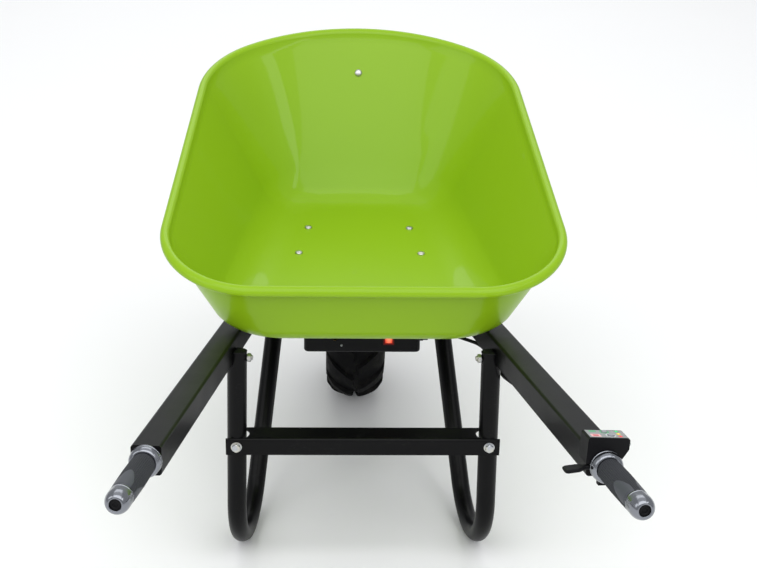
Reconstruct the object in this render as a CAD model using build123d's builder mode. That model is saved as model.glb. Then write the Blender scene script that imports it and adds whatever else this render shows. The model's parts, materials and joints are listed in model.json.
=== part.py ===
from build123d import *
import os
from math import atan, cos, pi, radians, sin, sqrt, tan

# Electric wheelbarrow. X is the operator's right, Y is forward, Z is up from the ground.
# Sizes are in millimetres. "Station" is the distance ahead of the rear leg tubes.
os.makedirs("parts", exist_ok=True)

# Layout
AXLE_Y = 564.0              # wheel axle ahead of the origin
WHEELBASE = 676.0           # rear leg tubes to wheel axle
RAIL_LEG_Z = 409.0          # rail centre over the rear leg tubes
RAIL_SPREAD = 230.0         # rail centre to the middle, over the rear leg tubes
RAIL_PITCH = 9.31           # degrees that the rails fall towards the wheel
RAIL_TOE = 7.14             # degrees that each rail closes in towards the wheel

# Handle rails: rectangular tube with a round bar for the grip
RAIL_WIDTH = 40.0
RAIL_HEIGHT = 40.0
RAIL_WALL = 2.0
RAIL_CORNER = 4.0
RAIL_PAST_AXLE = 66.0       # rail tube along the rail, beyond the wheelbase
RAIL_AHEAD = WHEELBASE + RAIL_PAST_AXLE     # front end of the rail tube ahead of the legs
RAIL_BEHIND = 498.0         # rear end of the rail tube behind the legs, along the rail
RAIL_END_PLATE = 5.0
BAR_RADIUS = 11.0
BAR_WALL = 2.0
PLUG_FLANGE = 3.0           # plastic plug in the front end of the rail
PLUG_DEPTH = 8.0

# Grips
THROTTLE_WIDTH = 17.0       # room for the throttle on the right bar
FLANGE_RADIUS = 21.5
FLANGE_LENGTH = 15.0
FLANGE_CHAMFER = 2.0
FLANGE_TAPER = 6.0          # length of the taper towards the grip
FLANGE_STEP = 0.5           # flange over the grip, at the end of the taper
GRIP_RADIUS = 16.0
GRIP_LENGTH = 106.0
GRIP_BELLY = 0.6            # swell of the grip
GRIP_BELLY_BACK = 48.0      # widest place of the grip behind its front end
CAP_RADIUS = 15.8
CAP_LENGTH = 28.0
CAP_ROUND = 6.0
CAP_SOCKET = 12.0           # how far the bar enters the end cap
CAP_RECESS_RADIUS = 7.5
CAP_RECESS_DEPTH = 6.0
CAP_PLUG_HEIGHT = 4.0
CAP_PLUG_BEVEL = 1.0
CAP_PLUG_FACE = 1.5         # face of the plug inside its side
SLIDE_FIT = 0.1             # radial room of pieces pushed on the bar
RUNNING_FIT = 0.08          # radial room of pieces that turn on a shaft

# Legs: one bent tube each
LEG_RADIUS = 16.0
LEG_WALL = 2.0
LEG_INSET = 24.5            # leg tube centre inside the rail centre
LEG_SPLAY = 1.0             # degrees that the legs spread towards the ground
LEG_BEND = 112.0            # bend at the ground, at the tube centre
LEG_RISE = 48.8             # degrees that the forward branch rises
LEG_TOP = 0.0               # top of the cut tube ends over the rail centre
LEG_BOLT_DROP = 10.0        # leg bolts below the rail centre
NOTCH_GAP = 0.5             # room under the rail in the notched tube end

# Leg brace: pressed angle behind the legs
BRACE_Z = 244.0
BRACE_HEIGHT = 30.0
BRACE_DEPTH = 40.0
BRACE_SHEET = 3.0
BRACE_OVERHANG = 1.5        # plate beyond the leg tube
BRACE_CLEAR = 5.0           # room round the leg tube in the top flange
BRACE_BEND = 5.0

# Fasteners
BOLT_RADIUS = 4.0
HOLE_ROOM = 0.3
HEAD_RADIUS = 7.5
HEAD_HEIGHT = 5.3
NUT_HEIGHT = 6.5
NUT_ROOM = 0.1
NUT_SEAT = 0.35             # room under a nut that sits on a round tube
BRACE_BOLT_RADIUS = 4.5
BRACE_FLANGE_RADIUS = 9.0
BRACE_FLANGE_HEIGHT = 2.0
BRACE_HEAD_RADIUS = 7.6
BRACE_HEAD_HEIGHT = 5.4
TAIL = 3.0                  # bolt beyond its nut

# Tray
TRAY_SHEET = 1.5
BEAD_RADIUS = 8.0
CURL_TURN = 290.0           # degrees that the rim sheet is rolled outwards
CURL_STEPS = 6
FLOOR_REAR = 21.0           # stations of the floor's rear and front edges, before rounding
FLOOR_NOSE = 591.0
FLOOR_Z = 410.0             # underside of the floor at its rear edge
FLOOR_SLOPE = 0.076
FLOOR_HALF_REAR = 249.5
FLOOR_HALF_NOSE = 150.0
FLOOR_NOSE_SAG = 10.0
FLOOR_REAR_ROUND = 76.0
FLOOR_NOSE_ROUND = 80.0
RIM_REAR = -30.0            # stations of the rim bead's centre
RIM_NOSE = 744.3
RIM_Z = 526.5               # height of the rim bead's centre at the rear
RIM_SLOPE = 0.2986
RIM_HALF_REAR = 337.8
RIM_HALF_NOSE = 290.9
RIM_NOSE_SAG = 140.7
RIM_REAR_ROUND = 150.7
RIM_NOSE_ROUND = 200.4
REAR_BEND = 46.3            # roundings between the floor and the walls
NOSE_BEND = 55.0
SIDE_BEND = 101.3
TRAY_LEVELS = (0, 0.03, 0.1, 0.22)
TRAY_INSET = 1.15           # inset of the inner wall for each unit of sheet, for its lean
REAR_BOLT_STATION = 357.0
REAR_BOLT_X = 112.5
FRONT_BOLT_STATION = 466.3
FRONT_BOLT_X = 96.5
NOSE_BOLT_LEVEL = 0.773     # share of the nose wall's height
TRAY_HEAD_RADIUS = 8.5
TRAY_HEAD_HEIGHT = 4.4
TRAY_HEAD_DOME = ((7.9, 1.8), (5.1, 3.7))   # radius and height of points on the dome

# Tray supports: bent strips between the rails and the tray floor
STRIP_WIDTH = 44.0
STRIP_BOLT_AHEAD = 12.0     # foot bolts ahead of the middle of the strip
STRIP_SHEET = 5.0
STRIP_BEND = 10.0
STRIP_FOOT_OUT = 18.0       # foot of the strip, outboard and inboard of the rail centre
STRIP_FOOT_IN = 26.0
STRIP_SEAT = 20.0           # top of the strip beyond the tray bolts

# Nose strut: bent tube with a pad for the nose bolt
STRUT_RADIUS = 10.0
STRUT_WALL = 1.5
STRUT_BEND = 45.0
STRUT_TOP_HALF = 80.0
STRUT_PAD = 44.0
STRUT_PAD_ROUND = 5.5
STRUT_PAD_SHEET = 4.0
STRUT_FOOT_END = 13.0       # foot plate beyond its bolts
STRUT_FOOT_SHEET = 5.0
STRUT_FOOT_INSET = 2.0      # foot plate inside the sides of the rail
STRUT_SEAT = 0.3            # room between the pad and the pressed wall
STRUT_SINK = 1.0            # depth of the tube in its pad

# Axle brackets: flange under the rail and a slotted web
WEB_INSIDE = 92.0           # inner face of the web from the middle
WEB_SHEET = 6.0
WEB_ROUND = 26.0
BRACKET_LENGTH = 96.0
BRACKET_BOLT_PITCH = 60.0
GUSSET = 26.0

# Hub motor, from the middle of the wheel outwards
WHEEL_RADIUS = 200.0
AXLE_RADIUS = 10.0
AXLE_END_RADIUS = 8.0
AXLE_FLAT = 12.0            # width across the flats in the bracket slots
AXLE_SHOULDER = 54.0
AXLE_HALF = 119.0
AXLE_BORE_DEPTH = 60.0      # cable way in the left end
SPACER_RADIUS = 13.0
WASHER_RADIUS = 16.0
WASHER_SHEET = 3.0
AXLE_NUT_RADIUS = 13.9
AXLE_NUT_HEIGHT = 13.0
SHELL_BORE = 88.0           # inside of the wheel rim round the magnets
SHELL_HALF = 44.0
SEAT_RADIUS = 102.0         # tyre bead seat
SEAT_HALF = 41.0
RIM_EDGE_RADIUS = 114.0
RIM_EDGE_HALF = 46.0
RIM_LIP = 3.0
SEAT_HUMP = 1.0
WELL_RADIUS = 96.0
WELL_HALF = 20.0
WELL_RAMP = 5.0             # across, from the well to the bead seat
COVER_SHEET = 6.0
COVER_RADIUS = 99.0
COVER_ROOM = 2.0            # round the motor cover in the rim
COVER_SPIGOT = 4.0
COVER_RIBS = 8
COVER_RIB_WIDTH = 7.0
COVER_RIB_HEIGHT = 5.0
COVER_RIB_TAPER = 12.0
BOSS_RADIUS = 29.0
COVER_SCREWS = 6
COVER_SCREW_RADIUS = 2.5
COVER_SCREW_LENGTH = 15.0
COVER_SCREW_CIRCLE = 93.5
COVER_HEAD_RADIUS = 4.6
COVER_HEAD_HEIGHT = 3.5
BEARING_RADIUS = 21.0
BEARING_WIDTH = 12.0
BEARING_INSIDE = 40.0       # inner side face of each bearing from the middle
MAGNETS = 20
MAGNET_THICK = 5.0
MAGNET_WIDTH = 21.0
MAGNET_LENGTH = 34.0
AIR_GAP = 0.8
TEETH = 18
TOOTH_WIDTH = 9.0
TOOTH_TIP = 20.0
TOOTH_TIP_HEIGHT = 4.0
YOKE_RADIUS = 56.0
YOKE_BORE = 44.0
SPOKES = 6
SPOKE_WIDTH = 12.0
SPOKE_BITE = 1.0            # overlap of the spokes and the yoke
CORE_HUB_RADIUS = 18.0
CORE_LENGTH = 32.0
COIL_THICK = 5.0
COIL_ROOM = 0.3

# Tyre with bar lugs
TYRE_HALF = 60.5
TYRE_WIDEST_RADIUS = 146.0
TYRE_WALL = 9.0
TYRE_FLANK_HALF = 52.0      # over the edge of the rim
TREAD_RADIUS = 190.0        # crown between the lugs
CROWN_HALF = 12.0
TREAD_HALF = 36.0
TREAD_DROP = 7.0            # fall of the tread from the crown to its edge
SHOULDER_HALF = 54.0
SHOULDER_RADIUS = 170.0
BEAD_ROOM = 0.4             # room between the tyre's beads and the rim
LUG_PAIRS = 16
LUG_WIDTH = 15.0
LUG_ANGLE = 42.0            # degrees from the wheel axis
LUG_GAP = 7.0               # between the lugs of a pair
LUG_OUTER_HALF = 58.0
LUG_SHOULDER_RADIUS = 169.0
LUG_EDGE_HALF = 45.0
LUG_EDGE_RADIUS = 187.0
LUG_CROWN_HALF = 16.0
LUG_FOOT = 12.0             # lower end of the lugs below the shoulder
LUG_DEPTH = 5.0             # depth of the lugs' roots in the tread
VALVE_RADIUS = 4.0
VALVE_LENGTH = 26.0
VALVE_FOOT_RADIUS = 5.5
VALVE_FOOT = 6.0
VALVE_CIRCLE = 107.5

# Battery box, hung under two bars across the rails
BAR_WIDTH = 40.0
BAR_SHEET = 6.0
BAR_INSET = 35.0            # bar centres inside the ends of the box
BAR_END = 17.0              # bar beyond the rail centre
BOX_HALF = 100.0
BOX_FRONT = 341.0           # front face, along the rails
BOX_LENGTH = 202.0
BOX_REAR = BOX_FRONT - BOX_LENGTH
BAR_STATION = (BOX_REAR + BAR_INSET, BOX_FRONT - BAR_INSET)
BOX_TOP = 20.0              # top of the lid over the rail centre
BOX_BOTTOM = -43.0
BOX_WALL = 3.0
BOX_ROUND = 9.0
BOX_EDGE = 5.0
LID_SHEET = 4.0
LID_LIP = 5.0
LID_FIT = 0.3
LID_BOLT_X = 60.0
LID_BOLT_RADIUS = 3.0
LID_HEAD_RADIUS = 5.8
LID_HEAD_HEIGHT = 4.0
BOX_SCREW_RADIUS = 2.0
BOX_SCREW_HEAD = 4.0
BOX_SCREW_LENGTH = 16.0
BOX_POST = 5.0
PACK_WIDTH = 126.0
PACK_HEIGHT = 44.0
PACK_SOCKET_ROOM = 3.4      # between the pack and the back of the charge socket
PACK_END_ROOM = 14.0        # between the pack and the front wall of the box
PACK_X = -31.0
PACK_ROUND = 9.0
CONTROLLER_WIDTH = 44.0
CONTROLLER_HEIGHT = 30.0
CONTROLLER_END_ROOM = 38.0  # between the controller and the end walls of the box
CONTROLLER_X = 64.0
CONTROLLER_FINS = 6
FIN_HEIGHT = 8.0
FIN_WIDTH = 3.0

# Rocker switch and charge socket in the rear face of the box
SWITCH_X = 45.5
SWITCH_UP = 27.0            # switch centre over the bottom of the box
BEZEL_WIDTH = 20.0
BEZEL_HEIGHT = 27.0
BEZEL_FLANGE = 2.0
BEZEL_LIP = 2.0
BEZEL_DEPTH = 12.0
ROCKER_WIDTH = 12.0
ROCKER_HEIGHT = 19.0
ROCKER_TILT = 9.0           # degrees each way
ROCKER_PROUD = 3.2
ROCKER_DEPTH = 5.0
ROCKER_BACK = 2.0           # each end of the rocker's back is shorter by this
ROCKER_ROOM = 0.5
ROCKER_END_ROOM = 0.9
PIVOT_RADIUS = 1.2
PIVOT_LENGTH = 1.2
SOCKET_X = -46.0
SOCKET_UP = 26.0
SOCKET_WIDTH = 27.0
SOCKET_HEIGHT = 21.0
SOCKET_FLANGE = 2.4
SOCKET_BODY_RADIUS = 8.5
SOCKET_BORE = 5.0
SOCKET_DEPTH = 14.0
SOCKET_END = 2.0

# Throttle on the right bar
THROTTLE_ROLL = -4.0        # degrees that the housing is turned on the bar
CLAMP_WIDTH = 9.0
CLAMP_RADIUS = 17.0
HOUSING_IN = 26.5           # box of the throttle, inboard, outboard, below and above the bar axis
HOUSING_OUT = 29.0
HOUSING_LOW = 2.0
HOUSING_TOP = 37.0
HOUSING_SIDE = 22.0         # foot of the outboard side
HOUSING_OVERHANG = 15.0     # over the rail tube
HOUSING_ROUND = 3.0
RAIL_ROOM = 3.0             # between the rail tube and the overhang
LEVER_RADIUS = 14.5
LEVER_ROOM = 0.4
LEVER_REACH = 61.0
LEVER_THICK = 6.0
LEVER_PAD_REACH = 31.0
LEVER_PAD = 18.0
LEVER_PAD_THICK = 7.0
LEVER_PAD_ROUND = 2.3
LEVER_DROP = 5.0            # degrees that the paddle points down at rest
PANEL_SHEET = 1.2
PANEL_PROUD = 0.4
PANEL_MARGIN = 2.5
LAMP_RADIUS = 1.6
LAMP_PROUD = 0.9
LAMP_X = 18.0
LAMP_BACK = (26.0, 16.0, 7.0)       # lamps ahead of the panel's rear edge
BUTTON_RADIUS = 3.6
BUTTON_PROUD = 1.8
BUTTON_TRAVEL = 0.8
BUTTON_DEPTH = 4.0
BUTTON_ROOM = 0.4
POWER_PLACE = (1.0, 23.5)           # outboard and ahead of the panel's rear edge
MODE_PLACE = (6.0, 10.5)
HOUSING_SCREW_RADIUS = 1.7
HOUSING_SCREW_HEAD = 3.2
HOUSING_SCREW_HEIGHT = 2.0
HOUSING_SCREW_LENGTH = 9.0
HOUSING_SCREW_UP = 29.0
HOUSING_SCREW_BACK = (-9.0, 11.0)

# Cables, their glands and clips
MOTOR_CABLE_RADIUS = 4.0
THROTTLE_CABLE_RADIUS = 3.0
CABLE_BEND = 60.0           # largest bend of a cable's centre line
CABLE_BEND_SHARE = 0.45     # share of a run that one bend may take
CABLE_DROP = 24.5           # cable centre below the rail centre, under the rail
CABLE_BOSS = 5.5
GLAND_HEX = 8.0
GLAND_HEX_HEIGHT = 6.0
GLAND_RADIUS = 6.6
GLAND_LENGTH = 14.0
GLAND_BODY_RADIUS = 6.0
GLAND_INSIDE = 8.0
SIDE_GLAND = (BOX_REAR + 23.0, -20.0)       # ahead and up, in the right side of the box
FRONT_GLAND = (-60.0, -15.0)                # across and up, in the front of the box
CLIP_LENGTH = 10.0
CLIP_SHEET = 2.0
THROTTLE_CLIPS = (430.0, 290.0, 160.0)
MOTOR_CLIP_BACK = 91.0      # clip of the motor cable, short of the wheelbase
MOTOR_CLIP = WHEELBASE - MOTOR_CLIP_BACK
MOTOR_CLIP_X = 3.0          # motor cable outboard of the rail centre, in its clip

# Turns of the cables: outboard of the rail centre, above the run under the rail, and ahead of the legs
THROTTLE_SAG = (
    (0.0, 0.0, -115.0),
    (5.0, -20.0, -25.0),
    (4.0, -25.0, 24.0),
    (-5.0, -12.0, 80.0),
    (-8.0, -2.0, SIDE_GLAND[0] - 27.0),
)
SIDE_TURN = (62.0, 13.0, -2.0)      # last turn before the side gland: off the box, ahead and above
SIDE_LEAD = 36.0                    # straight run into the side gland
MOTOR_LEAD_IN = 20.0                # motor cable inside and outside the end of the axle
MOTOR_LEAD_OUT = 32.0
MOTOR_SAG = (
    (20.0, -41.5, MOTOR_CLIP + 65.0),
    (MOTOR_CLIP_X, 0.0, MOTOR_CLIP + 30.0),
    (MOTOR_CLIP_X, 0.0, MOTOR_CLIP - 25.0),
    (8.0, -13.0, MOTOR_CLIP - 85.0),
    (5.0, -8.0, BOX_FRONT + 61.0),
)
FRONT_TURN = (-50.0, -14.0)         # last turn before the front gland: beside and above
FRONT_LEAD = 42.0                   # straight run into the front gland

# Derived places
LEG_Y = AXLE_Y - WHEELBASE
PITCH = radians(RAIL_PITCH)
TOE = radians(RAIL_TOE)
DECK = Plane((0, LEG_Y, RAIL_LEG_Z), x_dir=(1, 0, 0), z_dir=(0, sin(PITCH), cos(PITCH)))


def deck_vector(x, ahead, up):
    """A direction given in the plane of the rails."""
    return DECK.from_local_coords((x, ahead, up)) - DECK.origin


# RAIL runs rearwards along the right rail, with X outboard. RAIL_SIDE looks at it from outboard.
RAIL = Plane(
    DECK.from_local_coords((RAIL_SPREAD, 0, 0)),
    x_dir=deck_vector(cos(TOE), sin(TOE), 0),
    z_dir=deck_vector(sin(TOE), -cos(TOE), 0),
)
RAIL_SIDE = Plane(RAIL.origin, x_dir=-RAIL.z_dir, z_dir=RAIL.x_dir)
RAIL_TOP = RAIL_HEIGHT / 2


def rail_x(ahead):
    """Distance of the rail centre from the middle, at a distance ahead in the rails' plane."""
    return RAIL_SPREAD - ahead * tan(TOE)


# LEG is the plane of the right leg loop: X forward and Y up, from the rail centre's height
FORWARD = Vector(-RAIL.z_dir.X, -RAIL.z_dir.Y, 0).normalized()
OUTWARD = FORWARD.cross(Vector(0, 0, 1))
SPLAY = radians(LEG_SPLAY)
LEG = Plane(
    RAIL.from_local_coords((-LEG_INSET, 0, 0)),
    x_dir=FORWARD,
    z_dir=OUTWARD * cos(SPLAY) + Vector(0, 0, 1) * sin(SPLAY),
)
RISE = radians(LEG_RISE)
LEG_LOW = (LEG_RADIUS - LEG.origin.Z) / cos(SPLAY)
LEG_CORNER = LEG_LOW + LEG_BEND - LEG_BEND * (1 + sin(RISE)) / cos(RISE)
RAIL_LEVEL = sqrt(1 - RAIL.z_dir.Z**2)
RAIL_GRADE = RAIL.z_dir.Z / RAIL_LEVEL
LEG_MEET = -(LEG_CORNER + LEG_BOLT_DROP / cos(PITCH)) / (tan(RISE) + RAIL_GRADE)
LEG_BOLTS = [(run + LEG_BOLT_DROP * sin(PITCH)) / RAIL_LEVEL for run in (0, LEG_MEET)]

HUB = Vector(0, AXLE_Y, WHEEL_RADIUS)
WHEEL_AXIS = Axis(HUB, (1, 0, 0))
WHEEL = Plane(HUB, x_dir=(1, 0, 0), z_dir=(0, -1, 0))
WHEEL_FACE = Plane(HUB, x_dir=(0, 0, 1), z_dir=(1, 0, 0))


def export(builder, label):
    """Name a finished piece and write it."""
    builder.part.label = label
    export_step(builder.part, f"parts/{label}.step")


def mirrored(part):
    """The left-hand twin of a right-hand piece."""
    return part.mirror(Plane.YZ)


def bolt_form(grip, radius=BOLT_RADIUS, head=HEAD_RADIUS, height=HEAD_HEIGHT, washer=0.0, sheet=0.0):
    """Hexagon bolt with its nut. Z runs from the head's seat at 0 to the nut's seat at -grip."""
    with BuildPart() as bolt:
        with BuildSketch(Plane.XY.offset(sheet)):
            RegularPolygon(head, 6)
        extrude(amount=height)
        if sheet > 0:
            with BuildSketch():
                Circle(washer)
            extrude(amount=sheet)
        with BuildSketch():
            Circle(radius)
        extrude(amount=-(grip + NUT_HEIGHT + TAIL))
        with BuildSketch(Plane.XY.offset(-grip)):
            RegularPolygon(head, 6)
            Circle(radius + NUT_ROOM, mode=Mode.SUBTRACT)
        extrude(amount=-NUT_HEIGHT)
    return bolt.part


def placed(part, planes):
    """One copy of a piece on each plane."""
    with BuildPart() as group:
        with Locations(*planes):
            add(part)
    return group.part


def spun(plane, degrees):
    """A plane turned about its own normal."""
    turn = radians(degrees)
    return Plane(plane.origin, x_dir=plane.x_dir * cos(turn) + plane.y_dir * sin(turn), z_dir=plane.z_dir)


def both_sides(part):
    """A right-hand piece together with its twin."""
    with BuildPart() as pair:
        add(part)
        mirror(about=Plane.YZ)
    return pair.part


# Handle rails
def deck_holes(places, radius):
    """Round cutters square to the rails' plane, long enough for a rail and what lies on it."""
    with BuildPart() as cutters:
        with BuildSketch(DECK.offset(-2 * RAIL_HEIGHT)):
            with Locations(*places):
                Circle(radius)
        extrude(amount=4 * RAIL_HEIGHT)
    return cutters.part


def side_holes(places, radius):
    """Round cutters across the right rail for the leg bolts, at distances ahead along it."""
    with BuildPart() as cutters:
        with BuildSketch(RAIL_SIDE.offset(-3 * RAIL_HEIGHT)):
            with Locations(*[(ahead, -LEG_BOLT_DROP) for ahead in places]):
                Circle(radius)
        extrude(amount=6 * RAIL_HEIGHT)
    return cutters.part


def deck_ahead(station):
    """Distance ahead in the rails' plane, on top of the rails, of a level station."""
    return (station - RAIL_TOP * sin(PITCH)) / cos(PITCH)


STRIP_STATIONS = (REAR_BOLT_STATION, FRONT_BOLT_STATION)
STRIP_AHEAD = [deck_ahead(station) + STRIP_BOLT_AHEAD for station in STRIP_STATIONS]
BRACKET_AHEAD = (WHEELBASE + RAIL_TOP * sin(PITCH)) / cos(PITCH)
BRACKET_BOLTS = [BRACKET_AHEAD + side * BRACKET_BOLT_PITCH / 2 for side in (-1, 1)]
DECK_BOLTS = [*BAR_STATION, *STRIP_AHEAD, *BRACKET_BOLTS]
DECK_PLACES = [(rail_x(ahead), ahead) for ahead in DECK_BOLTS]
HOLE_RADIUS = BOLT_RADIUS + HOLE_ROOM


def rail_form(bar_length):
    """Right rail with a grip bar of the given length."""
    with BuildPart() as rail:
        with BuildSketch(RAIL.offset(-RAIL_AHEAD)):
            RectangleRounded(RAIL_WIDTH, RAIL_HEIGHT, RAIL_CORNER)
            offset(amount=-RAIL_WALL, mode=Mode.SUBTRACT)
        extrude(amount=RAIL_AHEAD + RAIL_BEHIND)
        with BuildSketch(RAIL.offset(RAIL_BEHIND)):
            RectangleRounded(RAIL_WIDTH, RAIL_HEIGHT, RAIL_CORNER)
        extrude(amount=-RAIL_END_PLATE)
        with BuildSketch(RAIL.offset(RAIL_BEHIND)):
            Circle(BAR_RADIUS)
            Circle(BAR_RADIUS - BAR_WALL, mode=Mode.SUBTRACT)
        extrude(amount=bar_length)
        add(deck_holes(DECK_PLACES, HOLE_RADIUS), mode=Mode.SUBTRACT)
        add(side_holes(LEG_BOLTS, HOLE_RADIUS), mode=Mode.SUBTRACT)
    return rail.part


GRIP_STACK = FLANGE_LENGTH + GRIP_LENGTH + CAP_SOCKET
with BuildPart() as right_rail:
    add(rail_form(THROTTLE_WIDTH + GRIP_STACK))
export(right_rail, "right_rail")

with BuildPart() as left_rail:
    add(mirrored(rail_form(GRIP_STACK)))
export(left_rail, "left_rail")

with BuildPart() as rail_plugs:
    with BuildSketch(RAIL.offset(-RAIL_AHEAD)):
        RectangleRounded(RAIL_WIDTH, RAIL_HEIGHT, RAIL_CORNER)
    extrude(amount=-PLUG_FLANGE)
    with BuildSketch(RAIL.offset(-RAIL_AHEAD)):
        RectangleRounded(RAIL_WIDTH, RAIL_HEIGHT, RAIL_CORNER)
        offset(amount=-RAIL_WALL - SLIDE_FIT)
    extrude(amount=PLUG_DEPTH)
    mirror(about=Plane.YZ)
export(rail_plugs, "rail_plugs")


# Grips: flange, rubber sleeve, end cap and plug, turned about the bar
def bar_plane(start):
    """Plane through the bar's axis: X runs rearwards from a distance behind the rail tube, Y is radial."""
    return Plane(RAIL.from_local_coords((0, 0, RAIL_BEHIND + start)), x_dir=RAIL.z_dir, z_dir=RAIL.x_dir)


def turned(start, outline, fillets=()):
    """A body turned about the bar from an outline of (along, radius) points."""
    plane = bar_plane(start)
    with BuildPart() as body:
        with BuildSketch(plane) as profile:
            with BuildLine():
                Polyline(*outline, close=True)
            make_face()
            for along, radius, size in fillets:
                corner = profile.vertices().sort_by_distance((along, radius, 0))[0]
                fillet(corner, size)
        revolve(axis=Axis(plane.origin, plane.x_dir))
    return body.part


def flange_form(start):
    bore = BAR_RADIUS + SLIDE_FIT
    outline = [
        (0, bore),
        (0, FLANGE_RADIUS - FLANGE_CHAMFER),
        (FLANGE_CHAMFER, FLANGE_RADIUS),
        (FLANGE_LENGTH - FLANGE_TAPER, FLANGE_RADIUS),
        (FLANGE_LENGTH, GRIP_RADIUS + FLANGE_STEP),
        (FLANGE_LENGTH, bore),
    ]
    return turned(start, outline)


def grip_form(start):
    bore = BAR_RADIUS + SLIDE_FIT
    outline = [
        (0, bore),
        (0, GRIP_RADIUS),
        (GRIP_BELLY_BACK, GRIP_RADIUS + GRIP_BELLY),
        (GRIP_LENGTH, CAP_RADIUS),
        (GRIP_LENGTH, bore),
    ]
    return turned(start, outline)


def cap_form(start):
    bore = BAR_RADIUS + SLIDE_FIT
    outline = [
        (0, bore),
        (0, CAP_RADIUS),
        (CAP_LENGTH, CAP_RADIUS),
        (CAP_LENGTH, CAP_RECESS_RADIUS),
        (CAP_LENGTH - CAP_RECESS_DEPTH, CAP_RECESS_RADIUS),
        (CAP_LENGTH - CAP_RECESS_DEPTH, 0),
        (CAP_SOCKET + SLIDE_FIT, 0),
        (CAP_SOCKET + SLIDE_FIT, bore),
    ]
    return turned(start, outline, [(CAP_LENGTH, CAP_RADIUS, CAP_ROUND)])


def plug_form(start):
    radius = CAP_RECESS_RADIUS - SLIDE_FIT
    seat = CAP_LENGTH - CAP_RECESS_DEPTH
    face = seat + CAP_PLUG_HEIGHT
    outline = [
        (seat, 0),
        (seat, radius),
        (face - CAP_PLUG_BEVEL, radius),
        (face, radius - CAP_PLUG_FACE),
        (face, 0),
    ]
    return turned(start, outline)


RIGHT_START = THROTTLE_WIDTH
GRIP_START = FLANGE_LENGTH
CAP_START = FLANGE_LENGTH + GRIP_LENGTH

with BuildPart() as right_grip_flange:
    add(flange_form(RIGHT_START))
export(right_grip_flange, "right_grip_flange")

with BuildPart() as left_grip_flange:
    add(mirrored(flange_form(0)))
export(left_grip_flange, "left_grip_flange")

with BuildPart() as right_grip:
    add(grip_form(RIGHT_START + GRIP_START))
export(right_grip, "right_grip")

with BuildPart() as left_grip:
    add(mirrored(grip_form(GRIP_START)))
export(left_grip, "left_grip")

with BuildPart() as right_grip_cap:
    add(cap_form(RIGHT_START + CAP_START))
export(right_grip_cap, "right_grip_cap")

with BuildPart() as left_grip_cap:
    add(mirrored(cap_form(CAP_START)))
export(left_grip_cap, "left_grip_cap")

with BuildPart() as grip_plugs:
    add(plug_form(RIGHT_START + CAP_START))
    add(mirrored(plug_form(CAP_START)))
export(grip_plugs, "grip_plugs")


# Legs
def leg_form(radius, skin):
    """Solid along the right leg's tube, notched for the rail with a skin left over the notch."""
    reach = LEG_RADIUS * 3
    end = (LEG_MEET + reach * cos(RISE), LEG_CORNER + tan(RISE) * LEG_MEET + reach * sin(RISE))
    with BuildPart() as leg:
        with BuildLine(LEG):
            path = FilletPolyline((0, reach), (0, LEG_CORNER), end, radius=LEG_BEND)
        with BuildSketch(Plane(path @ 0, z_dir=path % 0)):
            Circle(radius)
        sweep(path=path)
        with BuildSketch(RAIL.offset(-RAIL_AHEAD)):
            with Locations((-RAIL_WIDTH / 2 - skin, -RAIL_TOP - NOTCH_GAP - skin)):
                Rectangle(RAIL_WIDTH * 3, RAIL_HEIGHT * 3, align=(Align.MIN, Align.MIN))
        extrude(amount=RAIL_AHEAD + RAIL_BEHIND, mode=Mode.SUBTRACT)
        split(bisect_by=DECK.offset(LEG_TOP), keep=Keep.BOTTOM)
    return leg.part


LEG_BRACE_X = LEG.origin.X + (LEG.origin.Z - BRACE_Z) * tan(SPLAY) * OUTWARD.X
LEG_BRACE_Y = LEG.origin.Y + (LEG.origin.Z - BRACE_Z) * tan(SPLAY) * OUTWARD.Y
BRACE_BOLT_PLANE = Plane((LEG_BRACE_X, LEG_BRACE_Y, BRACE_Z), x_dir=(1, 0, 0), z_dir=(0, -1, 0))

with BuildPart() as right_leg:
    add(leg_form(LEG_RADIUS, 0))
    add(leg_form(LEG_RADIUS - LEG_WALL, LEG_WALL), mode=Mode.SUBTRACT)
    add(side_holes(LEG_BOLTS, HOLE_RADIUS), mode=Mode.SUBTRACT)
    with BuildSketch(BRACE_BOLT_PLANE.offset(-2 * LEG_RADIUS)):
        Circle(BRACE_BOLT_RADIUS + HOLE_ROOM)
    extrude(amount=4 * LEG_RADIUS, mode=Mode.SUBTRACT)
export(right_leg, "right_leg")

with BuildPart() as left_leg:
    add(mirrored(right_leg.part))
export(left_leg, "left_leg")

LEG_BOLT_GRIP = RAIL_WIDTH / 2 + LEG_INSET + LEG_RADIUS + NUT_SEAT
LEG_BOLT_PLANES = [
    Plane(
        RAIL_SIDE.from_local_coords((ahead, -LEG_BOLT_DROP, RAIL_WIDTH / 2)),
        x_dir=RAIL_SIDE.x_dir,
        z_dir=RAIL_SIDE.z_dir,
    )
    for ahead in LEG_BOLTS
]
with BuildPart() as leg_bolts:
    add(both_sides(placed(bolt_form(LEG_BOLT_GRIP), LEG_BOLT_PLANES)))
export(leg_bolts, "leg_bolts")

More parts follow.
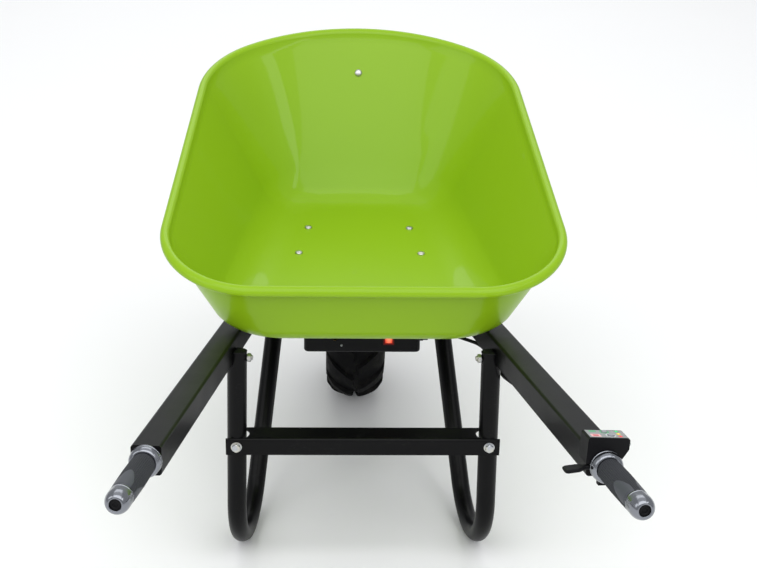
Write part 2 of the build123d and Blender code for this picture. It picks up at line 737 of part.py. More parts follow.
# Leg brace
BRACE_FACE = LEG_BRACE_Y - LEG_RADIUS - SLIDE_FIT
with BuildPart() as leg_brace:
    with BuildSketch(Plane.YZ) as brace_profile:
        with BuildLine():
            FilletPolyline(
                (BRACE_FACE, BRACE_Z - BRACE_HEIGHT / 2),
                (BRACE_FACE, BRACE_Z + BRACE_HEIGHT / 2 - BRACE_SHEET),
                (BRACE_FACE + BRACE_DEPTH - BRACE_SHEET, BRACE_Z + BRACE_HEIGHT / 2 - BRACE_SHEET),
                radius=BRACE_BEND - BRACE_SHEET,
            )
            offset(amount=BRACE_SHEET, side=Side.LEFT)
        make_face()
    extrude(amount=LEG_BRACE_X + LEG_RADIUS + BRACE_OVERHANG, both=True)
    with BuildSketch(Plane.XY.offset(BRACE_Z)):
        with Locations((LEG_BRACE_X, LEG_BRACE_Y)):
            Circle(LEG_RADIUS + BRACE_CLEAR)
            Rectangle(BRACE_DEPTH, LEG_RADIUS + BRACE_CLEAR, align=(Align.MIN, Align.CENTER))
        with Locations((LEG_BRACE_X, BRACE_FACE)):
            Rectangle(BRACE_DEPTH, 2 * BRACE_DEPTH, align=(Align.MIN, Align.MIN))
        with Locations((LEG_BRACE_X, BRACE_FACE)):
            Rectangle(2 * BRACE_DEPTH, 2 * BRACE_DEPTH, align=(Align.CENTER, Align.MAX), mode=Mode.SUBTRACT)
        mirror(about=Plane.YZ)
    extrude(amount=BRACE_HEIGHT, mode=Mode.SUBTRACT)
    with BuildSketch(BRACE_BOLT_PLANE):
        Circle(BRACE_BOLT_RADIUS + HOLE_ROOM)
        with Locations((-2 * LEG_BRACE_X, 0)):
            Circle(BRACE_BOLT_RADIUS + HOLE_ROOM)
    extrude(amount=2 * LEG_RADIUS, mode=Mode.SUBTRACT)
export(leg_brace, "leg_brace")

BRACE_BOLT = bolt_form(
    2 * LEG_RADIUS + BRACE_SHEET + SLIDE_FIT + NUT_SEAT,
    BRACE_BOLT_RADIUS,
    BRACE_HEAD_RADIUS,
    BRACE_HEAD_HEIGHT,
    BRACE_FLANGE_RADIUS,
    BRACE_FLANGE_HEIGHT,
)
with BuildPart() as brace_bolts:
    add(both_sides(placed(BRACE_BOLT, [BRACE_BOLT_PLANE.offset(LEG_RADIUS + BRACE_SHEET + SLIDE_FIT)])))
export(brace_bolts, "brace_bolts")


# Tray: one skin that runs up the inside, round the rolled rim and down the outside
def blend(low, high, level):
    return low + (high - low) * level


def floor_z(station):
    """Height of the floor's underside."""
    return FLOOR_Z + FLOOR_SLOPE * (station - FLOOR_REAR)


def rim_z(station):
    """Height of the rim bead's centre."""
    return RIM_Z + RIM_SLOPE * (station - RIM_REAR)


def wall_shift(level, run, rise, bend):
    """Outward shift at a share of a wall's rise: a straight lean, rounded into the floor by an arc."""
    lean = atan(run / rise)
    reach = bend * tan(pi / 4 - lean / 2)
    height = level * rise
    if height < reach * cos(lean):
        return sqrt(bend**2 - (bend - height) ** 2) - reach
    return height * tan(lean)


BEAD_SEAT = BEAD_RADIUS - TRAY_SHEET
WALL_REAR = RIM_REAR + BEAD_SEAT
WALL_NOSE = RIM_NOSE - BEAD_SEAT
SIDE_REAR = FLOOR_REAR + FLOOR_REAR_ROUND
SIDE_NOSE = FLOOR_NOSE - FLOOR_NOSE_ROUND


def nose_station(level):
    rise = rim_z(WALL_NOSE) - floor_z(FLOOR_NOSE)
    return FLOOR_NOSE + wall_shift(level, WALL_NOSE - FLOOR_NOSE, rise, NOSE_BEND)


def rear_station(level):
    rise = rim_z(WALL_REAR) - floor_z(FLOOR_REAR)
    return FLOOR_REAR - wall_shift(level, FLOOR_REAR - WALL_REAR, rise, REAR_BEND)


def half_width(level, floor_half, rim_half, station):
    rise = rim_z(station) - floor_z(station)
    return floor_half + wall_shift(level, rim_half - BEAD_SEAT - floor_half, rise, SIDE_BEND)


def tray_section(level, grow, lift):
    """Outline of the tray's outside at a share of its height, grown sideways and lifted."""
    slope = blend(FLOOR_SLOPE, RIM_SLOPE, level)
    stretch = sqrt(1 + slope**2)
    height = blend(floor_z(0), rim_z(0), level) + lift
    rear = rear_station(level) * stretch
    nose = nose_station(level) * stretch
    corner = nose - blend(FLOOR_NOSE_SAG, RIM_NOSE_SAG, level)
    half_rear = half_width(level, FLOOR_HALF_REAR, RIM_HALF_REAR, SIDE_REAR)
    half_nose = half_width(level, FLOOR_HALF_NOSE, RIM_HALF_NOSE, SIDE_NOSE)
    with BuildSketch(Plane((0, LEG_Y, height), x_dir=(1, 0, 0), z_dir=(0, -slope, 1))) as section:
        with BuildLine():
            Polyline((-half_nose, corner), (-half_rear, rear), (half_rear, rear), (half_nose, corner))
            ThreePointArc((half_nose, corner), (0, nose), (-half_nose, corner))
        make_face()
        nose_round = blend(FLOOR_NOSE_ROUND, RIM_NOSE_ROUND - BEAD_SEAT, level)
        fillet(section.vertices().sort_by(Axis.Y)[-2:], nose_round)
        rear_round = blend(FLOOR_REAR_ROUND, RIM_REAR_ROUND - BEAD_SEAT, level)
        fillet(section.vertices().sort_by(Axis.Y)[:2], rear_round)
        if grow != 0:
            offset(amount=grow)
    return section.sketch


def tray_rings():
    """Level, growth and lift of each outline of the skin, from the inner floor to the outer floor."""
    inset = TRAY_SHEET * TRAY_INSET
    rings = [(level, -inset, TRAY_SHEET * (1 - level / TRAY_LEVELS[-1])) for level in TRAY_LEVELS]
    turns = [radians(CURL_TURN * step / CURL_STEPS) for step in range(CURL_STEPS + 1)]
    for radius, order in ((BEAD_RADIUS, turns), (BEAD_SEAT, turns[::-1])):
        rings += [(1, BEAD_SEAT - radius * cos(turn), radius * sin(turn)) for turn in order]
    return rings + [(level, 0, 0) for level in TRAY_LEVELS[::-1]]


FLOOR = Plane((0, LEG_Y, floor_z(0)), x_dir=(1, 0, 0), z_dir=(0, -FLOOR_SLOPE, 1))
FLOOR_STRETCH = sqrt(1 + FLOOR_SLOPE**2)
FLOOR_BOLTS = [
    (side * x, station * FLOOR_STRETCH)
    for x, station in ((REAR_BOLT_X, REAR_BOLT_STATION), (FRONT_BOLT_X, FRONT_BOLT_STATION))
    for side in (-1, 1)
]


def floor_holes():
    """Round cutters square to the tray floor, through the floor and what lies under it."""
    with BuildPart() as cutters:
        with BuildSketch(FLOOR.offset(-3 * STRIP_SHEET)):
            with Locations(*FLOOR_BOLTS):
                Circle(HOLE_RADIUS)
        extrude(amount=6 * STRIP_SHEET)
    return cutters.part


def nose_point(level):
    """Point on the outside of the nose wall's middle."""
    station = nose_station(level)
    return Vector(0, LEG_Y + station, blend(floor_z(station), rim_z(station), level))


NOSE_UP = nose_point(1) - nose_point(TRAY_LEVELS[-1])
NOSE_SHARE = (NOSE_BOLT_LEVEL - TRAY_LEVELS[-1]) / (1 - TRAY_LEVELS[-1])
NOSE = Plane(
    nose_point(TRAY_LEVELS[-1]) + NOSE_UP * NOSE_SHARE,
    x_dir=(1, 0, 0),
    z_dir=NOSE_UP.cross(Vector(1, 0, 0)),
)


def nose_hole():
    """Round cutter square to the nose wall, through the wall, the strut's pad and its tube."""
    with BuildPart() as cutter:
        with BuildSketch(NOSE.offset(-4 * STRUT_RADIUS)):
            Circle(HOLE_RADIUS)
        extrude(amount=8 * STRUT_RADIUS)
    return cutter.part


with BuildPart() as tray:
    for level, grow, lift in tray_rings():
        add(tray_section(level, grow, lift))
    loft(ruled=True)
    add(floor_holes(), mode=Mode.SUBTRACT)
    add(nose_hole(), mode=Mode.SUBTRACT)
export(tray, "tray")


def dome_bolt(grip):
    """Dome-headed bolt with its nut. Z runs from the head's seat at 0 to the nut's seat at -grip."""
    end = grip + NUT_HEIGHT + TAIL
    with BuildPart() as bolt:
        with BuildSketch(Plane.XZ):
            with BuildLine():
                Polyline(
                    (0, -end),
                    (BOLT_RADIUS, -end),
                    (BOLT_RADIUS, 0),
                    (TRAY_HEAD_RADIUS, 0),
                    *TRAY_HEAD_DOME,
                    (0, TRAY_HEAD_HEIGHT),
                    close=True,
                )
            make_face()
        revolve(axis=Axis.Z)
        with BuildSketch(Plane.XY.offset(-grip)):
            RegularPolygon(HEAD_RADIUS, 6)
            Circle(BOLT_RADIUS + NUT_ROOM, mode=Mode.SUBTRACT)
        extrude(amount=-NUT_HEIGHT)
    return bolt.part


STRUT_OUT = STRUT_SEAT + STRUT_PAD_SHEET + STRUT_RADIUS - STRUT_SINK
FLOOR_SHEET = TRAY_SHEET / FLOOR_STRETCH
FLOOR_BOLT_PLANES = [
    Plane(FLOOR.from_local_coords((x, ahead, FLOOR_SHEET)), x_dir=(1, 0, 0), z_dir=FLOOR.z_dir)
    for x, ahead in FLOOR_BOLTS
]
NOSE_BOLT_PLANE = Plane(NOSE.offset(-TRAY_SHEET).origin, x_dir=(1, 0, 0), z_dir=-NOSE.z_dir)
with BuildPart() as tray_bolts:
    add(placed(dome_bolt((TRAY_SHEET + STRIP_SHEET) / FLOOR_STRETCH), FLOOR_BOLT_PLANES))
    add(placed(dome_bolt(TRAY_SHEET + STRUT_OUT + STRUT_RADIUS + NUT_SEAT), [NOSE_BOLT_PLANE]))
export(tray_bolts, "tray_bolts")


# Tray supports
def rail_top_z(station):
    """Height of the rails' top faces."""
    return RAIL_LEG_Z + RAIL_TOP / cos(PITCH) - station * tan(PITCH)


def support_form(station, bolt_x):
    """Bent strip from rail to rail, with its top under the tray floor."""
    with BuildPart() as strip:
        for edge in (station - STRIP_WIDTH / 2, station + STRIP_WIDTH / 2):
            rail = rail_x(deck_ahead(edge))
            half = [
                (rail + STRIP_FOOT_OUT, rail_top_z(edge)),
                (rail - STRIP_FOOT_IN, rail_top_z(edge)),
                (bolt_x + STRIP_SEAT, floor_z(edge) - STRIP_SHEET),
            ]
            with BuildSketch(Plane.XZ.offset(-LEG_Y - edge)):
                with BuildLine():
                    FilletPolyline(*[(-x, z) for x, z in half], *half[::-1], radius=STRIP_BEND)
                    offset(amount=STRIP_SHEET, side=Side.LEFT)
                make_face()
        loft(ruled=True)
        add(both_sides(deck_holes(DECK_PLACES, HOLE_RADIUS)), mode=Mode.SUBTRACT)
        add(floor_holes(), mode=Mode.SUBTRACT)
    return strip.part


with BuildPart() as rear_tray_support:
    add(support_form(REAR_BOLT_STATION, REAR_BOLT_X))
export(rear_tray_support, "rear_tray_support")

with BuildPart() as front_tray_support:
    add(support_form(FRONT_BOLT_STATION, FRONT_BOLT_X))
export(front_tray_support, "front_tray_support")


def deck_planes(places, up):
    """Planes square to the rails' plane, for right-hand bolts at distances ahead."""
    return [
        Plane(DECK.from_local_coords((rail_x(ahead), ahead, up)), x_dir=RAIL_SIDE.x_dir, z_dir=DECK.z_dir)
        for ahead in places
    ]


FOOT_SHEET = STRIP_SHEET * cos(PITCH)
SUPPORT_PLANES = deck_planes(STRIP_AHEAD, RAIL_TOP + FOOT_SHEET)
with BuildPart() as support_bolts:
    add(both_sides(placed(bolt_form(RAIL_HEIGHT + FOOT_SHEET), SUPPORT_PLANES)))
export(support_bolts, "support_bolts")

# Nose strut: a tube hoop on two foot plates, shared with the axle brackets' bolts
STRUT_FOOT = DECK.from_local_coords((0, BRACKET_AHEAD, RAIL_TOP))
STRUT_UP = NOSE.offset(STRUT_OUT).origin - STRUT_FOOT
HOOP = Plane(STRUT_FOOT, x_dir=(1, 0, 0), z_dir=Vector(1, 0, 0).cross(STRUT_UP))
HOOP_FOOT = rail_x(BRACKET_AHEAD)
STRUT_FOOT_WIDTH = RAIL_WIDTH - 2 * STRUT_FOOT_INSET
HOOP_LEAN = (HOOP_FOOT - STRUT_TOP_HALF) / STRUT_UP.length
with BuildPart() as nose_strut:
    with BuildLine(HOOP):
        hoop_low = (HOOP_FOOT + HOOP_LEAN * 2 * STRUT_RADIUS, -2 * STRUT_RADIUS)
        hoop_high = (STRUT_TOP_HALF, STRUT_UP.length)
        hoop = FilletPolyline(
            hoop_low,
            hoop_high,
            (-hoop_high[0], hoop_high[1]),
            (-hoop_low[0], hoop_low[1]),
            radius=STRUT_BEND,
        )
    with BuildSketch(Plane(hoop @ 0, z_dir=hoop % 0)):
        Circle(STRUT_RADIUS)
        Circle(STRUT_RADIUS - STRUT_WALL, mode=Mode.SUBTRACT)
    sweep(path=hoop)
    split(bisect_by=DECK.offset(RAIL_TOP), keep=Keep.TOP)
    with BuildSketch(DECK.offset(RAIL_TOP)):
        with Locations((HOOP_FOOT, BRACKET_AHEAD)):
            Rectangle(STRUT_FOOT_WIDTH, BRACKET_BOLT_PITCH + 2 * STRUT_FOOT_END, rotation=RAIL_TOE)
        mirror(about=Plane.YZ)
    extrude(amount=STRUT_FOOT_SHEET)
    with BuildSketch(NOSE.offset(STRUT_SEAT)):
        RectangleRounded(STRUT_PAD, STRUT_PAD, STRUT_PAD_ROUND)
    extrude(amount=STRUT_PAD_SHEET)
    add(nose_hole(), mode=Mode.SUBTRACT)
    add(both_sides(deck_holes(DECK_PLACES, HOLE_RADIUS)), mode=Mode.SUBTRACT)
export(nose_strut, "nose_strut")

# Axle brackets
BRACKET_TOP = -RAIL_TOP - WEB_SHEET / 2
BRACKET_ENDS = [
    DECK.from_local_coords((0, BRACKET_AHEAD + side * BRACKET_LENGTH / 2, BRACKET_TOP)) for side in (-1, 1)
]
GUSSET_PLANE = Plane(
    DECK.from_local_coords((WEB_INSIDE + WEB_SHEET, BRACKET_AHEAD, -RAIL_TOP - WEB_SHEET)),
    x_dir=(1, 0, 0),
    z_dir=DECK.y_dir,
)
with BuildPart() as right_axle_bracket:
    with BuildSketch(Plane.YZ.offset(WEB_INSIDE)):
        with BuildLine():
            CenterArc((HUB.Y, HUB.Z), WEB_ROUND, 0, 360)
            Line(*[(end.Y, end.Z) for end in BRACKET_ENDS])
        make_hull()
        with Locations((HUB.Y, HUB.Z + AXLE_END_RADIUS + HOLE_ROOM)):
            Rectangle(
                AXLE_FLAT + 2 * SLIDE_FIT, 3 * WEB_ROUND, align=(Align.CENTER, Align.MAX), mode=Mode.SUBTRACT
            )
    extrude(amount=WEB_SHEET)
    with BuildSketch(DECK.offset(-RAIL_TOP)):
        with Locations((WEB_INSIDE, BRACKET_AHEAD)):
            Rectangle(
                HOOP_FOOT - WEB_INSIDE + RAIL_WIDTH / 2, BRACKET_LENGTH, align=(Align.MIN, Align.CENTER)
            )
    extrude(amount=-WEB_SHEET)
    with BuildSketch(GUSSET_PLANE):
        with BuildLine():
            Polyline((0, 0), (GUSSET, 0), (0, GUSSET), close=True)
        make_face()
    extrude(amount=WEB_SHEET / 2, both=True)
    add(deck_holes(DECK_PLACES, HOLE_RADIUS), mode=Mode.SUBTRACT)
export(right_axle_bracket, "right_axle_bracket")

with BuildPart() as left_axle_bracket:
    add(mirrored(right_axle_bracket.part))
export(left_axle_bracket, "left_axle_bracket")

BRACKET_PLANES = deck_planes(BRACKET_BOLTS, RAIL_TOP + STRUT_FOOT_SHEET)
with BuildPart() as bracket_bolts:
    add(both_sides(placed(bolt_form(STRUT_FOOT_SHEET + RAIL_HEIGHT + WEB_SHEET), BRACKET_PLANES)))
export(bracket_bolts, "bracket_bolts")


# Hub motor and wheel, about the axle
def rings(inner, outer, start, end):
    """A pair of rings about the axle, from start to end on both sides of the wheel."""
    with BuildPart() as pair:
        with BuildSketch(WHEEL_FACE.offset(start)):
            Circle(outer)
            Circle(inner, mode=Mode.SUBTRACT)
        extrude(amount=end - start)
        mirror(about=Plane.YZ)
    return pair.part


AXLE_SLEEVE = AXLE_END_RADIUS + SLIDE_FIT
AXLE_BORE_RADIUS = MOTOR_CABLE_RADIUS + HOLE_ROOM
with BuildPart() as axle:
    with BuildSketch(WHEEL_FACE):
        Circle(AXLE_RADIUS)
    extrude(amount=AXLE_SHOULDER, both=True)
    with BuildSketch(WHEEL_FACE):
        Circle(AXLE_END_RADIUS)
    extrude(amount=AXLE_HALF, both=True)
    for side in (-1, 1):
        with BuildSketch(WHEEL_FACE.offset(side * AXLE_HALF)):
            Circle(AXLE_RADIUS)
            Rectangle(2 * AXLE_RADIUS, AXLE_FLAT, mode=Mode.SUBTRACT)
        extrude(amount=-side * (AXLE_HALF - WEB_INSIDE + WASHER_SHEET), mode=Mode.SUBTRACT)
    with BuildSketch(WHEEL_FACE.offset(-AXLE_HALF)):
        Circle(AXLE_BORE_RADIUS)
    extrude(amount=AXLE_BORE_DEPTH, mode=Mode.SUBTRACT)
export(axle, "axle")

with BuildPart() as axle_spacers:
    add(rings(AXLE_SLEEVE, SPACER_RADIUS, AXLE_SHOULDER, WEB_INSIDE))
export(axle_spacers, "axle_spacers")

AXLE_NUT_SEAT = WEB_INSIDE + WEB_SHEET
with BuildPart() as axle_nuts:
    add(rings(AXLE_SLEEVE, WASHER_RADIUS, AXLE_NUT_SEAT, AXLE_NUT_SEAT + WASHER_SHEET))
    for side in (-1, 1):
        with BuildSketch(WHEEL_FACE.offset(side * (AXLE_NUT_SEAT + WASHER_SHEET))):
            RegularPolygon(AXLE_NUT_RADIUS, 6)
            Circle(AXLE_SLEEVE, mode=Mode.SUBTRACT)
        extrude(amount=side * AXLE_NUT_HEIGHT)
export(axle_nuts, "axle_nuts")

STATOR_RADIUS = SHELL_BORE - MAGNET_THICK - AIR_GAP
with BuildPart() as stator_core:
    with BuildSketch(WHEEL_FACE):
        Circle(YOKE_RADIUS)
        Circle(YOKE_BORE, mode=Mode.SUBTRACT)
        with PolarLocations(0, TEETH):
            Rectangle(STATOR_RADIUS, TOOTH_WIDTH, align=(Align.MIN, Align.CENTER))
        with PolarLocations(STATOR_RADIUS, TEETH):
            Rectangle(TOOTH_TIP_HEIGHT, TOOTH_TIP, align=(Align.MAX, Align.CENTER))
        Circle(STATOR_RADIUS, mode=Mode.INTERSECT)
        Circle(YOKE_BORE, mode=Mode.SUBTRACT)
        with PolarLocations(0, SPOKES):
            Rectangle(YOKE_BORE + SPOKE_BITE, SPOKE_WIDTH, align=(Align.MIN, Align.CENTER))
        Circle(CORE_HUB_RADIUS)
        Circle(AXLE_RADIUS + SLIDE_FIT, mode=Mode.SUBTRACT)
    extrude(amount=CORE_LENGTH / 2, both=True)
export(stator_core, "stator_core")

COIL_LOW = YOKE_RADIUS + COIL_ROOM
COIL_HIGH = STATOR_RADIUS - TOOTH_TIP_HEIGHT - COIL_ROOM
with BuildPart() as stator_windings:
    with BuildSketch(WHEEL_FACE):
        with PolarLocations(COIL_LOW, TEETH):
            Rectangle(
                COIL_HIGH - COIL_LOW,
                TOOTH_WIDTH + 2 * COIL_ROOM + 2 * COIL_THICK,
                align=(Align.MIN, Align.CENTER),
            )
    extrude(amount=CORE_LENGTH / 2 + COIL_ROOM + COIL_THICK, both=True)
    with BuildSketch(WHEEL_FACE):
        with PolarLocations(0, TEETH):
            Rectangle(SHELL_BORE, TOOTH_WIDTH + 2 * COIL_ROOM, align=(Align.MIN, Align.CENTER))
    extrude(amount=CORE_LENGTH / 2 + COIL_ROOM, both=True, mode=Mode.SUBTRACT)
export(stator_windings, "stator_windings")

with BuildPart() as rotor_magnets:
    with BuildSketch(WHEEL_FACE):
        with PolarLocations(0, MAGNETS):
            Rectangle(SHELL_BORE, MAGNET_WIDTH, align=(Align.MIN, Align.CENTER))
        Circle(SHELL_BORE - SLIDE_FIT, mode=Mode.INTERSECT)
        Circle(SHELL_BORE - MAGNET_THICK, mode=Mode.SUBTRACT)
    extrude(amount=MAGNET_LENGTH / 2, both=True)
export(rotor_magnets, "rotor_magnets")


def wheel_turned(half_outline):
    """A body turned about the axle from one half of its (sideways, radius) outline."""
    with BuildPart() as body:
        with BuildSketch(WHEEL):
            with BuildLine():
                Polyline(*half_outline, *[(-x, radius) for x, radius in half_outline[::-1]], close=True)
            make_face()
        revolve(axis=WHEEL_AXIS)
    return body.part


def cover_screw_places():
    return PolarLocations(COVER_SCREW_CIRCLE, COVER_SCREWS, start_angle=180 / COVER_SCREWS)


RIM_STEP = COVER_RADIUS + COVER_ROOM
RIM_OUTLINE = [
    (WELL_HALF, WELL_RADIUS),
    (WELL_HALF + WELL_RAMP, SEAT_RADIUS - SEAT_HUMP),
    (SEAT_HALF, SEAT_RADIUS),
    (RIM_EDGE_HALF - RIM_LIP, RIM_EDGE_RADIUS),
    (RIM_EDGE_HALF, RIM_EDGE_RADIUS),
    (RIM_EDGE_HALF, RIM_STEP),
    (SHELL_HALF, RIM_STEP),
    (SHELL_HALF, SHELL_BORE),
]
SCREW_DEPTH = COVER_SCREW_LENGTH - COVER_SHEET
with BuildPart() as wheel_rim:
    add(wheel_turned(RIM_OUTLINE))
    for side in (-1, 1):
        with BuildSketch(WHEEL_FACE.offset(side * SHELL_HALF)):
            with cover_screw_places():
                Circle(COVER_SCREW_RADIUS + SLIDE_FIT)
        extrude(amount=-side * (SCREW_DEPTH + HOLE_ROOM), mode=Mode.SUBTRACT)
export(wheel_rim, "wheel_rim")

COVER_FACE = SHELL_HALF + COVER_SHEET
BEARING_OUTSIDE = BEARING_INSIDE + BEARING_WIDTH
with BuildPart() as right_motor_cover:
    with BuildSketch(WHEEL_FACE.offset(SHELL_HALF)):
        Circle(COVER_RADIUS)
        with cover_screw_places():
            Circle(COVER_SCREW_RADIUS + HOLE_ROOM, mode=Mode.SUBTRACT)
    extrude(amount=COVER_SHEET)
    with BuildSketch(WHEEL_FACE.offset(SHELL_HALF)):
        Circle(SHELL_BORE - SLIDE_FIT)
        Circle(SHELL_BORE - COVER_SPIGOT, mode=Mode.SUBTRACT)
    extrude(amount=-COVER_SPIGOT)
    with BuildSketch(WHEEL_FACE.offset(BEARING_INSIDE)):
        Circle(BOSS_RADIUS)
    extrude(amount=BEARING_WIDTH)
    with BuildSketch(WHEEL_FACE.offset(COVER_FACE)):
        with PolarLocations(0, COVER_RIBS):
            Rectangle(SHELL_BORE - COVER_HEAD_RADIUS, COVER_RIB_WIDTH, align=(Align.MIN, Align.CENTER))
    extrude(amount=COVER_RIB_HEIGHT, taper=COVER_RIB_TAPER)
    with BuildSketch(WHEEL_FACE.offset(BEARING_INSIDE)):
        Circle(BEARING_RADIUS + SLIDE_FIT)
    extrude(amount=BEARING_WIDTH + COVER_RIB_HEIGHT, mode=Mode.SUBTRACT)
export(right_motor_cover, "right_motor_cover")

with BuildPart() as left_motor_cover:
    add(mirrored(right_motor_cover.part))
export(left_motor_cover, "left_motor_cover")

with BuildPart() as wheel_bearings:
    add(rings(AXLE_RADIUS + RUNNING_FIT, BEARING_RADIUS, BEARING_INSIDE, BEARING_OUTSIDE))
export(wheel_bearings, "wheel_bearings")

with BuildPart() as cover_screws:
    with BuildSketch(WHEEL_FACE.offset(COVER_FACE)):
        with cover_screw_places():
            Circle(COVER_SCREW_RADIUS)
    extrude(amount=-COVER_SCREW_LENGTH)
    with BuildSketch(WHEEL_FACE.offset(COVER_FACE)):
        with cover_screw_places():
            RegularPolygon(COVER_HEAD_RADIUS, 6)
    extrude(amount=COVER_HEAD_HEIGHT)
    mirror(about=Plane.YZ)
export(cover_screws, "cover_screws")

with BuildPart() as valve_stem:
    for radius, length in ((VALVE_RADIUS, VALVE_LENGTH), (VALVE_FOOT_RADIUS, VALVE_FOOT)):
        with BuildSketch(WHEEL_FACE.offset(RIM_EDGE_HALF)):
            with PolarLocations(VALVE_CIRCLE, 1):
                Circle(radius)
        extrude(amount=length)
export(valve_stem, "valve_stem")

# Tyre: hollow carcass with pairs of slanting lugs
BEAD_INSIDE = SEAT_RADIUS + BEAD_ROOM
BEAD_HALF = SEAT_HALF - BEAD_ROOM
TYRE_OUTSIDE = [
    (BEAD_HALF, BEAD_INSIDE),
    (BEAD_HALF, RIM_EDGE_RADIUS),
    (TYRE_FLANK_HALF, RIM_EDGE_RADIUS + TYRE_WALL),
    (TYRE_HALF, TYRE_WIDEST_RADIUS),
    (SHOULDER_HALF, SHOULDER_RADIUS),
    (TREAD_HALF, TREAD_RADIUS - TREAD_DROP),
    (CROWN_HALF, TREAD_RADIUS),
]
TYRE_INSIDE = [
    (BEAD_HALF - TYRE_WALL, BEAD_INSIDE - TYRE_WALL),
    (BEAD_HALF - TYRE_WALL, RIM_EDGE_RADIUS),
    (TYRE_HALF - TYRE_WALL, TYRE_WIDEST_RADIUS),
    (TREAD_HALF, TREAD_RADIUS - TREAD_DROP - TYRE_WALL),
]
LUG_ENVELOPE = [
    (LUG_OUTER_HALF, SHOULDER_RADIUS - LUG_FOOT),
    (LUG_OUTER_HALF, LUG_SHOULDER_RADIUS),
    (LUG_EDGE_HALF, LUG_EDGE_RADIUS),
    (LUG_CROWN_HALF, WHEEL_RADIUS),
]
LUG_ROOT = [
    (CROWN_HALF, TREAD_RADIUS - LUG_DEPTH),
    (TREAD_HALF, TREAD_RADIUS - TREAD_DROP - LUG_DEPTH),
    (SHOULDER_HALF - LUG_DEPTH / 2, SHOULDER_RADIUS - LUG_DEPTH),
]
LUG_SLANT = tan(radians(LUG_ANGLE))
LUG_START = LUG_GAP / 2
LUG_RUN = (LUG_OUTER_HALF + LUG_DEPTH - LUG_START) * LUG_SLANT
LUG_CHORD = LUG_WIDTH / cos(radians(LUG_ANGLE))


def lug_form():
    """The right-hand lug at the top of the tyre: a slanting bar cut to the tread's envelope."""
    with BuildPart() as lug:
        with BuildSketch(Plane(HUB, x_dir=(1, 0, 0), z_dir=(0, 0, 1))):
            with BuildLine():
                Polyline(
                    (LUG_START, -LUG_CHORD / 2),
                    (LUG_OUTER_HALF + LUG_DEPTH, LUG_RUN - LUG_CHORD / 2),
                    (LUG_OUTER_HALF + LUG_DEPTH, LUG_RUN + LUG_CHORD / 2),
                    (LUG_START, LUG_CHORD / 2),
                    close=True,
                )
            make_face()
        extrude(amount=2 * WHEEL_RADIUS)
        add(wheel_turned(LUG_ROOT + LUG_ENVELOPE), mode=Mode.INTERSECT)
    return lug.part


with BuildPart() as tyre:
    add(wheel_turned(TYRE_OUTSIDE))
    for step in range(LUG_PAIRS):
        add(lug_form().rotate(WHEEL_AXIS, step * 360 / LUG_PAIRS))
        add(mirrored(lug_form()).rotate(WHEEL_AXIS, (step + 0.5) * 360 / LUG_PAIRS))
    add(wheel_turned(TYRE_INSIDE), mode=Mode.SUBTRACT)
export(tyre, "tyre")


# Hanger bars and battery box
def deck_block(width, length, x, ahead, low, high, rounding=0.0):
    """A block square to the rails' plane, with its upright edges rounded."""
    with BuildPart() as block:
        with BuildSketch(DECK.offset(low)):
            with Locations((x, ahead)):
                if rounding > 0:
                    RectangleRounded(width, length, rounding)
                else:
                    Rectangle(width, length)
        extrude(amount=high - low)
    return block.part


LID_PLACES = [(side * LID_BOLT_X, ahead) for ahead in BAR_STATION for side in (-1, 1)]
LID_HOLE = LID_BOLT_RADIUS + HOLE_ROOM


def bar_form(ahead):
    """Flat bar across the rails that carries the lid of the box."""
    with BuildPart() as bar:
        add(deck_block(2 * rail_x(ahead) + 2 * BAR_END, BAR_WIDTH, 0, ahead, RAIL_TOP, RAIL_TOP + BAR_SHEET))
        add(both_sides(deck_holes(DECK_PLACES, HOLE_RADIUS)), mode=Mode.SUBTRACT)
        add(deck_holes(LID_PLACES, LID_HOLE), mode=Mode.SUBTRACT)
    return bar.part


with BuildPart() as rear_hanger_bar:
    add(bar_form(BAR_STATION[0]))
export(rear_hanger_bar, "rear_hanger_bar")

with BuildPart() as front_hanger_bar:
    add(bar_form(BAR_STATION[1]))
export(front_hanger_bar, "front_hanger_bar")

HANGER_PLANES = deck_planes(BAR_STATION, RAIL_TOP + BAR_SHEET)
with BuildPart() as hanger_bolts:
    add(both_sides(placed(bolt_form(RAIL_HEIGHT + BAR_SHEET), HANGER_PLANES)))
export(hanger_bolts, "hanger_bolts")

BOX_AHEAD = BOX_REAR + BOX_LENGTH / 2
LID_SEAT = BOX_TOP - LID_SHEET
POST_X = BOX_HALF - BOX_WALL - BOX_POST
POST_AHEAD = BOX_LENGTH / 2 - BOX_WALL - BOX_POST
POST_PLACES = [(x * POST_X, BOX_AHEAD + y * POST_AHEAD) for x in (-1, 1) for y in (-1, 1)]
BOX_FACE = Plane(
    DECK.from_local_coords((0, BOX_REAR, BOX_BOTTOM)), x_dir=(1, 0, 0), z_dir=deck_vector(0, -1, 0)
)
SIDE_GLAND_PLANE = Plane(
    DECK.from_local_coords((BOX_HALF, SIDE_GLAND[0], SIDE_GLAND[1])), x_dir=DECK.y_dir, z_dir=(1, 0, 0)
)
FRONT_GLAND_PLANE = Plane(
    DECK.from_local_coords((FRONT_GLAND[0], BOX_FRONT, FRONT_GLAND[1])),
    x_dir=(1, 0, 0),
    z_dir=DECK.y_dir,
)
BEZEL_BODY = (BEZEL_WIDTH - 2 * BEZEL_LIP, BEZEL_HEIGHT - 2 * BEZEL_LIP)
